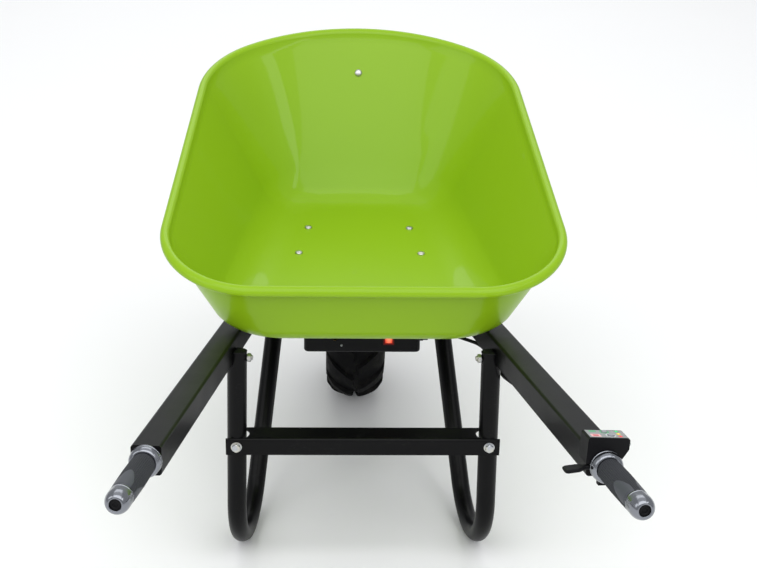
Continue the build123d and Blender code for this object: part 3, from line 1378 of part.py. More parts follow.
with BuildPart() as battery_box:
    add(deck_block(2 * BOX_HALF, BOX_LENGTH, 0, BOX_AHEAD, BOX_BOTTOM, LID_SEAT, BOX_ROUND))
    fillet(battery_box.faces().sort_by(Axis.Z)[0].edges(), BOX_EDGE)
    cavity = deck_block(
        2 * BOX_HALF - 2 * BOX_WALL,
        BOX_LENGTH - 2 * BOX_WALL,
        0,
        BOX_AHEAD,
        BOX_BOTTOM + BOX_WALL,
        BOX_TOP,
        BOX_ROUND - BOX_WALL,
    )
    add(cavity, mode=Mode.SUBTRACT)
    with BuildSketch(DECK.offset(BOX_BOTTOM + BOX_WALL)):
        with Locations(*POST_PLACES):
            Rectangle(2 * BOX_POST, 2 * BOX_POST)
    extrude(amount=LID_SEAT - LID_LIP - LID_FIT - BOX_BOTTOM - BOX_WALL)
    with BuildSketch(DECK.offset(LID_SEAT - BOX_SCREW_LENGTH)):
        with Locations(*POST_PLACES):
            Circle(BOX_SCREW_RADIUS + SLIDE_FIT)
    extrude(amount=BOX_SCREW_LENGTH, mode=Mode.SUBTRACT)
    with BuildSketch(BOX_FACE):
        with Locations((SWITCH_X, SWITCH_UP)):
            Rectangle(BEZEL_BODY[0] + 2 * SLIDE_FIT, BEZEL_BODY[1] + 2 * SLIDE_FIT)
        with Locations((SOCKET_X, SOCKET_UP)):
            Circle(SOCKET_BODY_RADIUS + HOLE_ROOM)
    extrude(amount=-2 * BOX_WALL, mode=Mode.SUBTRACT)
    for plane in (SIDE_GLAND_PLANE, FRONT_GLAND_PLANE):
        with BuildSketch(plane):
            Circle(GLAND_BODY_RADIUS + HOLE_ROOM)
        extrude(amount=-2 * BOX_WALL, mode=Mode.SUBTRACT)
export(battery_box, "battery_box")

LIP_HALF = BOX_HALF - BOX_WALL - LID_FIT
LIP_LENGTH = BOX_LENGTH - 2 * BOX_WALL - 2 * LID_FIT
LIP_ROUND = BOX_ROUND - BOX_WALL - LID_FIT
with BuildPart() as box_lid:
    add(deck_block(2 * BOX_HALF, BOX_LENGTH, 0, BOX_AHEAD, LID_SEAT, BOX_TOP, BOX_ROUND))
    add(deck_block(2 * LIP_HALF, LIP_LENGTH, 0, BOX_AHEAD, LID_SEAT - LID_LIP, LID_SEAT, LIP_ROUND))
    lip_bore = deck_block(
        2 * LIP_HALF - 2 * BOX_WALL,
        LIP_LENGTH - 2 * BOX_WALL,
        0,
        BOX_AHEAD,
        LID_SEAT - LID_LIP,
        LID_SEAT,
        LIP_ROUND - BOX_WALL,
    )
    add(lip_bore, mode=Mode.SUBTRACT)
    add(deck_holes(LID_PLACES, LID_HOLE), mode=Mode.SUBTRACT)
    add(deck_holes(POST_PLACES, BOX_SCREW_RADIUS + HOLE_ROOM), mode=Mode.SUBTRACT)
export(box_lid, "box_lid")

LID_BOLT = bolt_form(BAR_SHEET + LID_SHEET, LID_BOLT_RADIUS, LID_HEAD_RADIUS, LID_HEAD_HEIGHT)
LID_PLANES = [
    Plane(DECK.from_local_coords((x, ahead, RAIL_TOP + BAR_SHEET)), x_dir=(1, 0, 0), z_dir=DECK.z_dir)
    for x, ahead in LID_PLACES
]
with BuildPart() as lid_bolts:
    add(placed(LID_BOLT, LID_PLANES))
export(lid_bolts, "lid_bolts")

with BuildPart() as box_screws:
    for radius, length in ((BOX_SCREW_RADIUS, -BOX_SCREW_LENGTH), (BOX_SCREW_HEAD, BOX_SCREW_RADIUS)):
        with BuildSketch(DECK.offset(BOX_TOP)):
            with Locations(*POST_PLACES):
                Circle(radius)
        extrude(amount=length)
export(box_screws, "box_screws")

PACK_LOW = BOX_BOTTOM + BOX_WALL
PACK_TOP = PACK_LOW + PACK_HEIGHT
PACK_REAR = BOX_REAR + SOCKET_DEPTH + SOCKET_END - SOCKET_FLANGE + PACK_SOCKET_ROOM
PACK_LENGTH = BOX_FRONT - BOX_WALL - PACK_END_ROOM - PACK_REAR
PACK_AHEAD = PACK_REAR + PACK_LENGTH / 2
with BuildPart() as battery_pack:
    add(deck_block(PACK_WIDTH, PACK_LENGTH, PACK_X, PACK_AHEAD, PACK_LOW, PACK_TOP, PACK_ROUND))
export(battery_pack, "battery_pack")

CONTROLLER_LENGTH = BOX_LENGTH - 2 * BOX_WALL - 2 * CONTROLLER_END_ROOM
CONTROLLER_TOP = PACK_LOW + CONTROLLER_HEIGHT
FIN_PITCH = (CONTROLLER_WIDTH - FIN_WIDTH) / (CONTROLLER_FINS - 1)
with BuildPart() as motor_controller:
    add(deck_block(CONTROLLER_WIDTH, CONTROLLER_LENGTH, CONTROLLER_X, BOX_AHEAD, PACK_LOW, CONTROLLER_TOP))
    with BuildSketch(DECK.offset(CONTROLLER_TOP)):
        with Locations((CONTROLLER_X, BOX_AHEAD)):
            with GridLocations(FIN_PITCH, 1, CONTROLLER_FINS, 1):
                Rectangle(FIN_WIDTH, CONTROLLER_LENGTH)
    extrude(amount=FIN_HEIGHT)
export(motor_controller, "motor_controller")

# Rocker switch: bezel in the rear face of the box, and the rocker on its pins
ROCKER_PIVOT = BOX_FACE.from_local_coords((SWITCH_X, SWITCH_UP, 0))
PIVOT_PLANE = Plane(ROCKER_PIVOT, x_dir=BOX_FACE.y_dir, z_dir=(1, 0, 0))
PIVOT_END = ROCKER_WIDTH / 2 + PIVOT_LENGTH
with BuildPart() as switch_bezel:
    with BuildSketch(BOX_FACE):
        with Locations((SWITCH_X, SWITCH_UP)):
            RectangleRounded(BEZEL_WIDTH, BEZEL_HEIGHT, BEZEL_LIP)
    extrude(amount=BEZEL_FLANGE)
    with BuildSketch(BOX_FACE):
        with Locations((SWITCH_X, SWITCH_UP)):
            Rectangle(*BEZEL_BODY)
    extrude(amount=-BEZEL_DEPTH)
    with BuildSketch(BOX_FACE.offset(BEZEL_FLANGE)):
        with Locations((SWITCH_X, SWITCH_UP)):
            Rectangle(ROCKER_WIDTH + 2 * ROCKER_ROOM, ROCKER_HEIGHT + 2 * ROCKER_END_ROOM)
    extrude(amount=-BEZEL_FLANGE - ROCKER_DEPTH - ROCKER_BACK, mode=Mode.SUBTRACT)
    with BuildSketch(PIVOT_PLANE):
        Circle(PIVOT_RADIUS + RUNNING_FIT)
    extrude(amount=PIVOT_END + SLIDE_FIT, both=True, mode=Mode.SUBTRACT)
export(switch_bezel, "switch_bezel")

ROCKER_SAG = ROCKER_HEIGHT / 2 * tan(radians(ROCKER_TILT))
with BuildPart() as switch_rocker:
    with BuildSketch(spun(PIVOT_PLANE, -ROCKER_TILT)):
        with BuildLine():
            Polyline(
                (ROCKER_HEIGHT / 2, ROCKER_PROUD),
                (0, ROCKER_PROUD - ROCKER_SAG),
                (-ROCKER_HEIGHT / 2, ROCKER_PROUD),
                (-ROCKER_HEIGHT / 2 + ROCKER_BACK, -ROCKER_DEPTH),
                (ROCKER_HEIGHT / 2 - ROCKER_BACK, -ROCKER_DEPTH),
                close=True,
            )
        make_face()
    extrude(amount=ROCKER_WIDTH / 2, both=True)
    with BuildSketch(PIVOT_PLANE):
        Circle(PIVOT_RADIUS)
    extrude(amount=PIVOT_END, both=True)
export(switch_rocker, "switch_rocker")

SOCKET = BOX_FACE.offset(SOCKET_FLANGE)
with BuildPart() as charge_socket:
    with BuildSketch(BOX_FACE):
        with Locations((SOCKET_X, SOCKET_UP)):
            RectangleRounded(SOCKET_WIDTH, SOCKET_HEIGHT, BEZEL_LIP)
    extrude(amount=SOCKET_FLANGE)
    with BuildSketch(BOX_FACE):
        with Locations((SOCKET_X, SOCKET_UP)):
            Circle(SOCKET_BODY_RADIUS)
    extrude(amount=SOCKET_FLANGE - SOCKET_DEPTH - SOCKET_END)
    with BuildSketch(SOCKET):
        with Locations((SOCKET_X, SOCKET_UP)):
            Circle(SOCKET_BORE)
    extrude(amount=-SOCKET_DEPTH, mode=Mode.SUBTRACT)
export(charge_socket, "charge_socket")


def gland_form(plane, cable):
    """Cable gland through a wall of the box, for a cable of the given radius."""
    with BuildPart() as gland:
        with BuildSketch(plane):
            RegularPolygon(GLAND_HEX, 6)
        extrude(amount=GLAND_HEX_HEIGHT)
        with BuildSketch(plane):
            Circle(GLAND_RADIUS)
        extrude(amount=GLAND_LENGTH)
        with BuildSketch(plane):
            Circle(GLAND_BODY_RADIUS)
        extrude(amount=-GLAND_INSIDE)
        with BuildSketch(plane.offset(-GLAND_INSIDE)):
            Circle(cable + HOLE_ROOM)
        extrude(amount=GLAND_INSIDE + GLAND_LENGTH, mode=Mode.SUBTRACT)
    return gland.part


with BuildPart() as cable_glands:
    add(gland_form(SIDE_GLAND_PLANE, THROTTLE_CABLE_RADIUS))
    add(gland_form(FRONT_GLAND_PLANE, MOTOR_CABLE_RADIUS))
export(cable_glands, "cable_glands")

# Throttle: housing clamped on the right bar, behind the rail tube
BAR_END_PLANE = RAIL.offset(RAIL_BEHIND)
THROTTLE = spun(BAR_END_PLANE, THROTTLE_ROLL)
HOUSING_BACK = THROTTLE_WIDTH - LEVER_ROOM
HOUSING_LENGTH = HOUSING_OVERHANG + HOUSING_BACK
PANEL_X = (HOUSING_OUT - HOUSING_IN) / 2
PANEL = Plane(
    THROTTLE.from_local_coords((0, HOUSING_TOP, HOUSING_BACK)), x_dir=THROTTLE.x_dir, z_dir=THROTTLE.y_dir
)
PANEL_PLACE = (PANEL_X, HOUSING_LENGTH / 2)
PANEL_WIDTH = HOUSING_IN + HOUSING_OUT - 2 * PANEL_MARGIN
PANEL_LENGTH = HOUSING_LENGTH - 2 * PANEL_MARGIN
PANEL_SINK = PANEL_SHEET - PANEL_PROUD
HOUSING_SIDE_PLANE = Plane(
    THROTTLE.from_local_coords((HOUSING_OUT, HOUSING_SCREW_UP, 0)),
    x_dir=THROTTLE.z_dir,
    z_dir=THROTTLE.x_dir,
)
SCREW_PLACES = [(back, 0) for back in HOUSING_SCREW_BACK]
with BuildPart() as throttle_housing:
    with BuildSketch(THROTTLE.offset(-HOUSING_OVERHANG)) as housing_outline:
        with BuildLine():
            Polyline(
                (-HOUSING_IN, HOUSING_LOW),
                (-HOUSING_IN, HOUSING_TOP),
                (HOUSING_OUT, HOUSING_TOP),
                (HOUSING_OUT, HOUSING_SIDE),
                (CLAMP_RADIUS, HOUSING_LOW),
                close=True,
            )
        make_face()
        fillet(housing_outline.vertices().sort_by(Axis.Y)[-3:], HOUSING_ROUND)
    extrude(amount=HOUSING_LENGTH)
    with BuildSketch(BAR_END_PLANE.offset(-HOUSING_OVERHANG)):
        Rectangle(RAIL_WIDTH + 2 * RAIL_ROOM, RAIL_HEIGHT + 2 * RAIL_ROOM)
    extrude(amount=HOUSING_OVERHANG, mode=Mode.SUBTRACT)
    with BuildSketch(BAR_END_PLANE):
        Circle(CLAMP_RADIUS)
        with Locations((0, -CABLE_DROP - CABLE_BOSS)):
            Rectangle(2 * CABLE_BOSS, CABLE_DROP, align=(Align.CENTER, Align.MIN))
    extrude(amount=CLAMP_WIDTH)
    with BuildSketch(BAR_END_PLANE.offset(CLAMP_WIDTH)):
        Circle(LEVER_RADIUS + LEVER_ROOM)
    extrude(amount=HOUSING_BACK, mode=Mode.SUBTRACT)
    with BuildSketch(BAR_END_PLANE):
        Circle(BAR_RADIUS + SLIDE_FIT)
    extrude(amount=THROTTLE_WIDTH, mode=Mode.SUBTRACT)
    with BuildSketch(BAR_END_PLANE):
        with Locations((0, -CABLE_DROP)):
            Circle(THROTTLE_CABLE_RADIUS + HOLE_ROOM)
    extrude(amount=CLAMP_WIDTH - CLIP_SHEET, mode=Mode.SUBTRACT)
    with BuildSketch(PANEL.offset(-PANEL_SINK)):
        with Locations(PANEL_PLACE):
            Rectangle(PANEL_WIDTH + 2 * SLIDE_FIT, PANEL_LENGTH + 2 * SLIDE_FIT)
    extrude(amount=PANEL_SHEET, mode=Mode.SUBTRACT)
    with BuildSketch(PANEL):
        with Locations(POWER_PLACE, MODE_PLACE):
            Circle(BUTTON_RADIUS + BUTTON_ROOM)
    extrude(amount=-BUTTON_DEPTH - 2 * BUTTON_TRAVEL, mode=Mode.SUBTRACT)
    with BuildSketch(HOUSING_SIDE_PLANE):
        with Locations(*SCREW_PLACES):
            Circle(HOUSING_SCREW_RADIUS + SLIDE_FIT)
    extrude(amount=-HOUSING_SCREW_LENGTH - HOLE_ROOM, mode=Mode.SUBTRACT)
export(throttle_housing, "throttle_housing")

with BuildPart() as display_panel:
    with BuildSketch(PANEL.offset(-PANEL_SINK)):
        with Locations(PANEL_PLACE):
            Rectangle(PANEL_WIDTH, PANEL_LENGTH)
        with Locations(POWER_PLACE, MODE_PLACE):
            Circle(BUTTON_RADIUS + BUTTON_ROOM, mode=Mode.SUBTRACT)
        with Locations(*[(LAMP_X, back) for back in LAMP_BACK]):
            Circle(LAMP_RADIUS + SLIDE_FIT, mode=Mode.SUBTRACT)
    extrude(amount=PANEL_SHEET)
export(display_panel, "display_panel")

with BuildPart() as display_lamps:
    with BuildSketch(PANEL.offset(-PANEL_SINK)):
        with Locations(*[(LAMP_X, back) for back in LAMP_BACK]):
            Circle(LAMP_RADIUS)
    extrude(amount=PANEL_SINK + LAMP_PROUD)
export(display_lamps, "display_lamps")


def button_form(place):
    """Push button that slides into the panel."""
    with BuildPart() as button:
        with BuildSketch(PANEL.offset(-BUTTON_DEPTH)):
            with Locations(place):
                Circle(BUTTON_RADIUS)
        extrude(amount=BUTTON_DEPTH + BUTTON_PROUD)
        chamfer(button.faces().sort_by(Axis.Z)[-1].edges(), BUTTON_ROOM)
    return button.part


with BuildPart() as power_button:
    add(button_form(POWER_PLACE))
export(power_button, "power_button")

with BuildPart() as mode_button:
    add(button_form(MODE_PLACE))
export(mode_button, "mode_button")

with BuildPart() as throttle_screws:
    for radius, length in (
        (HOUSING_SCREW_RADIUS, -HOUSING_SCREW_LENGTH),
        (HOUSING_SCREW_HEAD, HOUSING_SCREW_HEIGHT),
    ):
        with BuildSketch(HOUSING_SIDE_PLANE):
            with Locations(*SCREW_PLACES):
                Circle(radius)
        extrude(amount=length)
export(throttle_screws, "throttle_screws")

LEVER_START = CLAMP_WIDTH + LEVER_ROOM
LEVER_WIDTH = HOUSING_BACK - LEVER_ROOM - LEVER_START
LEVER = spun(BAR_END_PLANE.offset(LEVER_START), LEVER_DROP)
with BuildPart() as thumb_lever:
    with BuildSketch(LEVER):
        Circle(LEVER_RADIUS)
        Rectangle(LEVER_PAD_REACH + LEVER_PAD_THICK, LEVER_THICK, align=(Align.MAX, Align.CENTER))
    extrude(amount=LEVER_WIDTH)
    with BuildSketch(LEVER.offset((LEVER_WIDTH - LEVER_PAD) / 2)) as paddle:
        with Locations((-LEVER_PAD_REACH, 0)):
            Rectangle(LEVER_REACH - LEVER_PAD_REACH, LEVER_PAD_THICK, align=(Align.MAX, Align.CENTER))
        fillet(paddle.vertices(), LEVER_PAD_ROUND)
    extrude(amount=LEVER_PAD)
    with BuildSketch(LEVER):
        Circle(BAR_RADIUS + RUNNING_FIT)
    extrude(amount=LEVER_WIDTH, mode=Mode.SUBTRACT)
export(thumb_lever, "thumb_lever")


# Cables
def bends(points):
    """Bend radius at each inner point: as wide as the runs allow, up to the largest."""
    radii = []
    for before, point, after in zip(points, points[1:], points[2:]):
        first = Vector(*point) - Vector(*before)
        second = Vector(*after) - Vector(*point)
        half_turn = radians(first.get_angle(second)) / 2
        radii.append(min(CABLE_BEND, CABLE_BEND_SHARE * min(first.length, second.length) / tan(half_turn)))
    return radii


def cable_form(points, radius, name):
    """A round cable along straight runs and tangent bends."""
    radii = bends(points)
    print(name, "bend radii", [round(bend) for bend in radii])
    with BuildPart() as cable:
        with BuildLine():
            path = FilletPolyline(*points, radius=radii)
        with BuildSketch(Plane(path @ 0, z_dir=path % 0)):
            Circle(radius)
        sweep(path=path)
    print(name, "length", round(path.length))
    return cable.part


def right_point(across, up, ahead):
    """Point beside the right rail."""
    return RAIL.from_local_coords((across, up, -ahead))


def left_point(across, up, ahead):
    """Point beside the left rail."""
    point = right_point(across, up, ahead)
    return Vector(-point.X, point.Y, point.Z)


THROTTLE_ROUTE = [
    right_point(0, -CABLE_DROP, -RAIL_BEHIND - CLAMP_WIDTH / 2),
    *[right_point(across, up - CABLE_DROP, ahead) for across, up, ahead in THROTTLE_SAG],
    DECK.from_local_coords(
        (BOX_HALF + SIDE_TURN[0], SIDE_GLAND[0] + SIDE_TURN[1], SIDE_GLAND[1] + SIDE_TURN[2])
    ),
    DECK.from_local_coords((BOX_HALF + SIDE_LEAD, *SIDE_GLAND)),
    DECK.from_local_coords((BOX_HALF - GLAND_INSIDE, *SIDE_GLAND)),
]
with BuildPart() as throttle_cable:
    add(cable_form(THROTTLE_ROUTE, THROTTLE_CABLE_RADIUS, "throttle_cable"))
export(throttle_cable, "throttle_cable")

FRONT_LEAD_END = BOX_FRONT + FRONT_LEAD
MOTOR_ROUTE = [
    HUB - Vector(AXLE_HALF - MOTOR_LEAD_IN, 0, 0),
    HUB - Vector(AXLE_HALF + MOTOR_LEAD_OUT, 0, 0),
    *[left_point(across, up - CABLE_DROP, ahead) for across, up, ahead in MOTOR_SAG],
    DECK.from_local_coords((FRONT_GLAND[0] + FRONT_TURN[0], FRONT_LEAD_END, FRONT_GLAND[1] + FRONT_TURN[1])),
    DECK.from_local_coords((FRONT_GLAND[0], FRONT_LEAD_END, FRONT_GLAND[1])),
    DECK.from_local_coords((FRONT_GLAND[0], BOX_FRONT - GLAND_INSIDE, FRONT_GLAND[1])),
]
with BuildPart() as motor_cable:
    add(cable_form(MOTOR_ROUTE, MOTOR_CABLE_RADIUS, "motor_cable"))
export(motor_cable, "motor_cable")


def clip_form(radius, across, ahead):
    """Saddle clip under the right rail, for a cable of the given radius."""
    with BuildPart() as clip:
        with BuildSketch(RAIL.offset(-ahead - CLIP_LENGTH / 2)):
            with Locations((across, -RAIL_TOP)):
                Rectangle(
                    2 * radius + 2 * HOLE_ROOM + 2 * CLIP_SHEET,
                    CABLE_DROP - RAIL_TOP + radius + HOLE_ROOM + CLIP_SHEET,
                    align=(Align.CENTER, Align.MAX),
                )
            with Locations((across, -CABLE_DROP)):
                Circle(radius + HOLE_ROOM, mode=Mode.SUBTRACT)
        extrude(amount=CLIP_LENGTH)
    return clip.part


with BuildPart() as cable_clips:
    for back in THROTTLE_CLIPS:
        add(clip_form(THROTTLE_CABLE_RADIUS, 0, -back))
    add(mirrored(clip_form(MOTOR_CABLE_RADIUS, MOTOR_CLIP_X, MOTOR_CLIP)))
export(cable_clips, "cable_clips")
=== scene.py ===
import json
from functools import cache
from types import SimpleNamespace

import bmesh
import bpy
import numpy as np
from mathutils import Matrix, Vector
from numpy import cos, pi, sin


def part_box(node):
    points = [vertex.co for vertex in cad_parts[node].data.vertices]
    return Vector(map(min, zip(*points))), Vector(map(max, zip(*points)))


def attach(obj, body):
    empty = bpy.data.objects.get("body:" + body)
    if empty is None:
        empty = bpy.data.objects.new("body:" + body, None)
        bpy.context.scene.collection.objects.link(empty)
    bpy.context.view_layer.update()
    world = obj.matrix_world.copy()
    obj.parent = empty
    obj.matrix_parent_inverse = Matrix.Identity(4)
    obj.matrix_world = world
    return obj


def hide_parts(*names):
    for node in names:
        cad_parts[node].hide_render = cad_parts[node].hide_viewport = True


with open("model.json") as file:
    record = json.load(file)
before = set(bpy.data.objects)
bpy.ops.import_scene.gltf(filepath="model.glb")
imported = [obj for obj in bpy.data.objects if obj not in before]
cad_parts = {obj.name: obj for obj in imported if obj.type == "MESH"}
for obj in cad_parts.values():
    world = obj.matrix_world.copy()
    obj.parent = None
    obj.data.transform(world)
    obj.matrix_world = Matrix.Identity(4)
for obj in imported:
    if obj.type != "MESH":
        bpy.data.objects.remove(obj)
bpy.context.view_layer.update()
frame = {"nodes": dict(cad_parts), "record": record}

bl_info = {
    "name": "Electric Wheelbarrow",
    "version": (1, 0, 0),
    "blender": (4, 5, 0),
    "location": "View3D > Sidebar > Barrow",
    "description": "Dresses the solids of an electric wheelbarrow with formed pieces and finishes",
    "category": "Object",
}

# Lengths are millimetres, and become metres when a mesh is made
MM = 0.001
FULL_TURN = 2 * pi

# Rails, legs and wheel
LEG_Y = -112
RAIL_Z = 409
RAIL_SPREAD = 230
PITCH = np.radians(9.31)
TOE = np.radians(7.14)
RAIL_WIDTH = 40
RAIL_HEIGHT = 40
RAIL_TOP = RAIL_HEIGHT / 2
RAIL_BEHIND = 498
LEG_RADIUS = 16
LEG_INSET = 24.5
LEG_SPLAY = np.radians(1)
LEG_BEND = 112
LEG_RISE = np.radians(48.8)
LEG_BOLT_DROP = 10
LEG_CAP_RADIUS = LEG_RADIUS + 0.6
LEG_CAP_MIDDLE = -28
LEG_CAP_ROOM = 0.4
BRACE_SHEET = 3
HUB_Y = 564
HUB_Z = 200
WHEELBASE = HUB_Y - LEG_Y

# Tyre
TREAD_RADIUS = 190
LUG_SLANT = np.radians(42)
LUG_GAP_HALF = 3.5
LUG_START = 2.2
LUG_WALL = 0.0075           # turn taken by the sloping wall of a lug
LUG_OUTER_HALF = 58
FLANK_RIDGES = (152, 131, 126)
FLANK_INNER_HALF = 46

# Grips, and the throttle on the right bar
BAR_RADIUS = 11
BAR_BORE = BAR_RADIUS + 0.1
FLANGE_LENGTH = 15
GRIP_LENGTH = 106
GRIP_EDGE = 3
GRIP_BARREL = ((0, 16), (47.7, 16.6), (GRIP_LENGTH, 15.8))       # distance along, and radius
GRIP_ROUND = (1.5, 0.7)     # length and depth of the rounding at its ends
RIB_FADE = 2
TONGUE_START = 60
TONGUE_RUN = 30
TONGUE_HALF = 0.8           # half width of a tongue, and its edge, as turns
TONGUE_EDGE = 0.05
TONGUE_RISE = 1.1           # height of a tongue, in depths of a rib
CAP_SOCKET = 12.1
RECESS_FLOOR = 22
GRIP_STARTS = {"right": 17, "left": 0}
GRIP_SPINS = {"right": pi / 6, "left": pi / 2}
THROTTLE_ROLL = -4
HOUSING_TOP = 37
HOUSING_BACK = 16.6
LEVER_BACK = 9.4
LEVER_DROP = 5
LEVER_RADIUS = 14.5
LEVER_WIDTH = 6.8
LEVER_EDGE = 0.4
LEVER_ROOT = 12.6
LEVER_REACH = 42.4
LEVER_HALF = 3              # half thickness of the paddle
PAD_HALF = 9
PAD_DIP = 0.9
PAD_START = 0.30            # the pad's start and run, and the tip's start, as shares of the reach
PAD_RUN = 0.26
TIP_START = 0.86
SQUARENESS = 0.55           # exponent of a section: 1 is round, and 0 square
POWER_PLACE = (1, 23.5)
MODE_PLACE = (6, 10.5)
LAMP_X = 18
LAMP_BACK = (26, 16, 7)

# Bolts; the tuples hold the radius, the head's radius and height, then the flange's radius and height
BOLT_RADIUS = 4
HEAD_RADIUS = 7.5
HEAD_HEIGHT = 5.3
NUT_HEIGHT = 6.5
NUT_SEAT = 0.35
BOLT_TAIL = 3
BOLT_TIP = 0.4
THREAD_DEPTH = 0.55         # in pitches
HEX_FACE = 0.93             # radius of a head's face, and depth of its chamfer, in radii of the flats
HEX_CHAMFER = 0.12
LID_BOLT = (3, 5.8, 4)
BRACE_BOLT = (4.5, 7.6, 5.4, 9, 2)
BRACE_NUT_ROOM = 0.1

# Tray; stations are distances ahead of the legs, z is the height at the rear, sag is how far the nose's
# ends lie behind its middle
SHEET = 1.5
BEAD = 8
SEAT = BEAD - SHEET
CURL_TURN = np.radians(290)
KNEE = 0.22                 # share of a wall's rise at the top of its bend
TRAY_INSET = 1.15           # inset of the inner wall for each unit of sheet, for its lean
FLOOR = SimpleNamespace(
    rear=21, nose=591, z=410, slope=0.076, half_rear=249.5, half_nose=150,
    sag=10, round_rear=76, round_nose=80,
)
RIM = SimpleNamespace(
    rear=-30, nose=744.3, z=526.5, slope=0.2986, half_rear=337.8, half_nose=290.9,
    sag=140.7, round_rear=150.7, round_nose=200.4,
)
REAR_BEND = 46.3
NOSE_BEND = 55
SIDE_BEND = 101.3
FLOOR_BOLTS = ((112.5, 357), (96.5, 466.3))       # outboard, and station
NOSE_BOLT_LEVEL = 0.773

# Tray supports, nose strut, axle brackets and battery box
STRIP_SHEET = 5
STRIP_BOLT_AHEAD = 12
STRUT_RADIUS = 10
STRUT_OUT = 13.3            # middle of the strut, out from the nose wall
STRUT_TOP_HALF = 80
STRUT_FOOT_SHEET = 5
WEB_INSIDE = 92
WEB_SHEET = 6
BRACKET_LENGTH = 96
BRACKET_BOLT_PITCH = 60
SEAM_MARGIN = 4
WELD_OUT = 0.4
WELD_UP = 0.6
WELD_SWELL = 0.16           # share of a bead's radius
BOX_REAR = 139
BOX_BOTTOM = -43
BAR_STATION = (174, 306)
BAR_SHEET = 6
LID_SHEET = 4
LID_BOLT_X = 60
SWITCH_X = 45.5
SWITCH_UP = 27
ROCKER_HALF = (6, 9.5)
SOCKET_PLACE = (-46, 26, 2.4)
SOCKET_END = -13.9
CHARGE_LAMP_PLACE = (-35.5, 12.8, 0)
# the switch bezel gets its own finish, which has a painted red glow standing in for the rocker's light
OWN_FINISH = {"switch_bezel": "glow_painted_bezel"}

# Stage, in metres and watts; each light has its place, its aim, its size and its share of the main power
PICTURE_WIDTH = 757
SENSOR_WIDTH = 36
FLOOR_RADIUS = 9
WORLD_COLOUR = (0.96, 0.98, 1, 1)
WORLD_STRENGTH = 0.6
LIGHTS = {
    "softbox_front": ((0, -2.8, 4.2), (0, 0.2, 0.4), (5.6, 4), 1),
    "softbox_top": ((0, 0.8, 4.5), (0, 0.8, 0), (5, 5), 0.22),
    "softbox_back": ((0, 5.5, 5), (0, 5.5, 0), (5, 5), 0.8),
    "softbox_left": ((-3.2, -1.8, 2.4), (0, 0, 0.4), (2, 2), 0.14),
    "strip_right": ((3.1, -2.6, 3.2), (0, 0.2, 0.4), (0.35, 3.6), 0.10),
}


def unit(vectors):
    vectors = np.asarray(vectors, float)
    return vectors / np.linalg.norm(vectors, axis=-1, keepdims=True)


class Place:
    """A local frame: an origin and three square directions."""

    def __init__(self, origin, x_dir, z_dir):
        self.origin = np.asarray(origin, float)
        z = unit(z_dir)
        x = unit(np.asarray(x_dir, float) - np.dot(x_dir, z) * z)
        self.axes = np.stack([x, np.cross(z, x), z])

    def at(self, x, y, z):
        """Points for local coordinates."""
        return self.origin + np.stack(np.broadcast_arrays(x, y, z), -1).astype(float) @ self.axes

    def way(self, x, y, z):
        return np.array([x, y, z], float) @ self.axes

    def moved(self, x, y, z):
        """The same directions at a local point."""
        return Place(self.at(x, y, z), self.axes[0], self.axes[2])

    def spun(self, degrees):
        turn = np.radians(degrees)
        return Place(self.origin, self.way(cos(turn), sin(turn), 0), self.axes[2])


# DECK is the plane of the rails; RAIL runs rearwards along the right rail, with X outboard and Y up
DECK = Place((0, LEG_Y, RAIL_Z), (1, 0, 0), (0, sin(PITCH), cos(PITCH)))
RAIL = Place(
    DECK.at(RAIL_SPREAD, 0, 0),
    DECK.way(cos(TOE), sin(TOE), 0),
    DECK.way(sin(TOE), -cos(TOE), 0),
)
BAR_END = RAIL.moved(0, 0, RAIL_BEHIND)
THROTTLE = BAR_END.spun(THROTTLE_ROLL)
PANEL = Place(THROTTLE.at(0, HOUSING_TOP, HOUSING_BACK), THROTTLE.axes[0], THROTTLE.axes[1])
BOX_FACE = Place(DECK.at(0, BOX_REAR, BOX_BOTTOM), (1, 0, 0), DECK.way(0, -1, 0))


def rail_x(ahead):
    return RAIL_SPREAD - ahead * np.tan(TOE)


def bracket_ahead():
    """Distance ahead, in the rails' plane, of the axle brackets' middle."""
    return (WHEELBASE + RAIL_TOP * sin(PITCH)) / cos(PITCH)


def leg_stations(drop):
    """Distances along the rail where the ends of a leg loop cross a line that far below its middle."""
    bottom = (LEG_RADIUS - RAIL.at(-LEG_INSET, 0, 0)[2]) / cos(LEG_SPLAY)
    corner = bottom + LEG_BEND - LEG_BEND * (1 + sin(LEG_RISE)) / cos(LEG_RISE)
    level = np.sqrt(1 - RAIL.axes[2][2] ** 2)
    meet = -(corner + drop / cos(PITCH)) / (np.tan(LEG_RISE) + RAIL.axes[2][2] / level)
    return [(run + drop * sin(PITCH)) / level for run in (0, meet)]


def circle(count):
    """Even steps round a circle, the last back at the first."""
    return np.linspace(0, FULL_TURN, count + 1)


def even(count):
    """Even steps from 0 to 1."""
    return np.linspace(0, 1, count)


def between(first, last, share):
    return first + (last - first) * share


def lengths(points):
    """Distance along a line of points, up to each of them."""
    return np.append(0, np.cumsum(np.linalg.norm(np.diff(points, axis=0), axis=1)))


def mirrored(points):
    """The left-hand twin of right-hand points."""
    return points * np.array([-1, 1, 1])


def sided(side, points):
    return points if side == "right" else mirrored(points)


def both(forms):
    return forms + [mirrored(form) for form in forms]


# Meshes
def quads(grid, start=0):
    """Faces of a grid of points, as the numbers of their corners."""
    rows, columns = grid.shape[:2]
    index = start + np.arange(rows * columns).reshape(rows, columns)
    corners = [index[:-1, :-1], index[1:, :-1], index[1:, 1:], index[:-1, 1:]]
    return np.stack(corners, -1).reshape(-1, 4)


def shown(name, mesh, finish):
    mesh.materials.append(finish)
    thing = bpy.data.objects.new(name, mesh)
    bpy.context.scene.collection.objects.link(thing)
    return thing


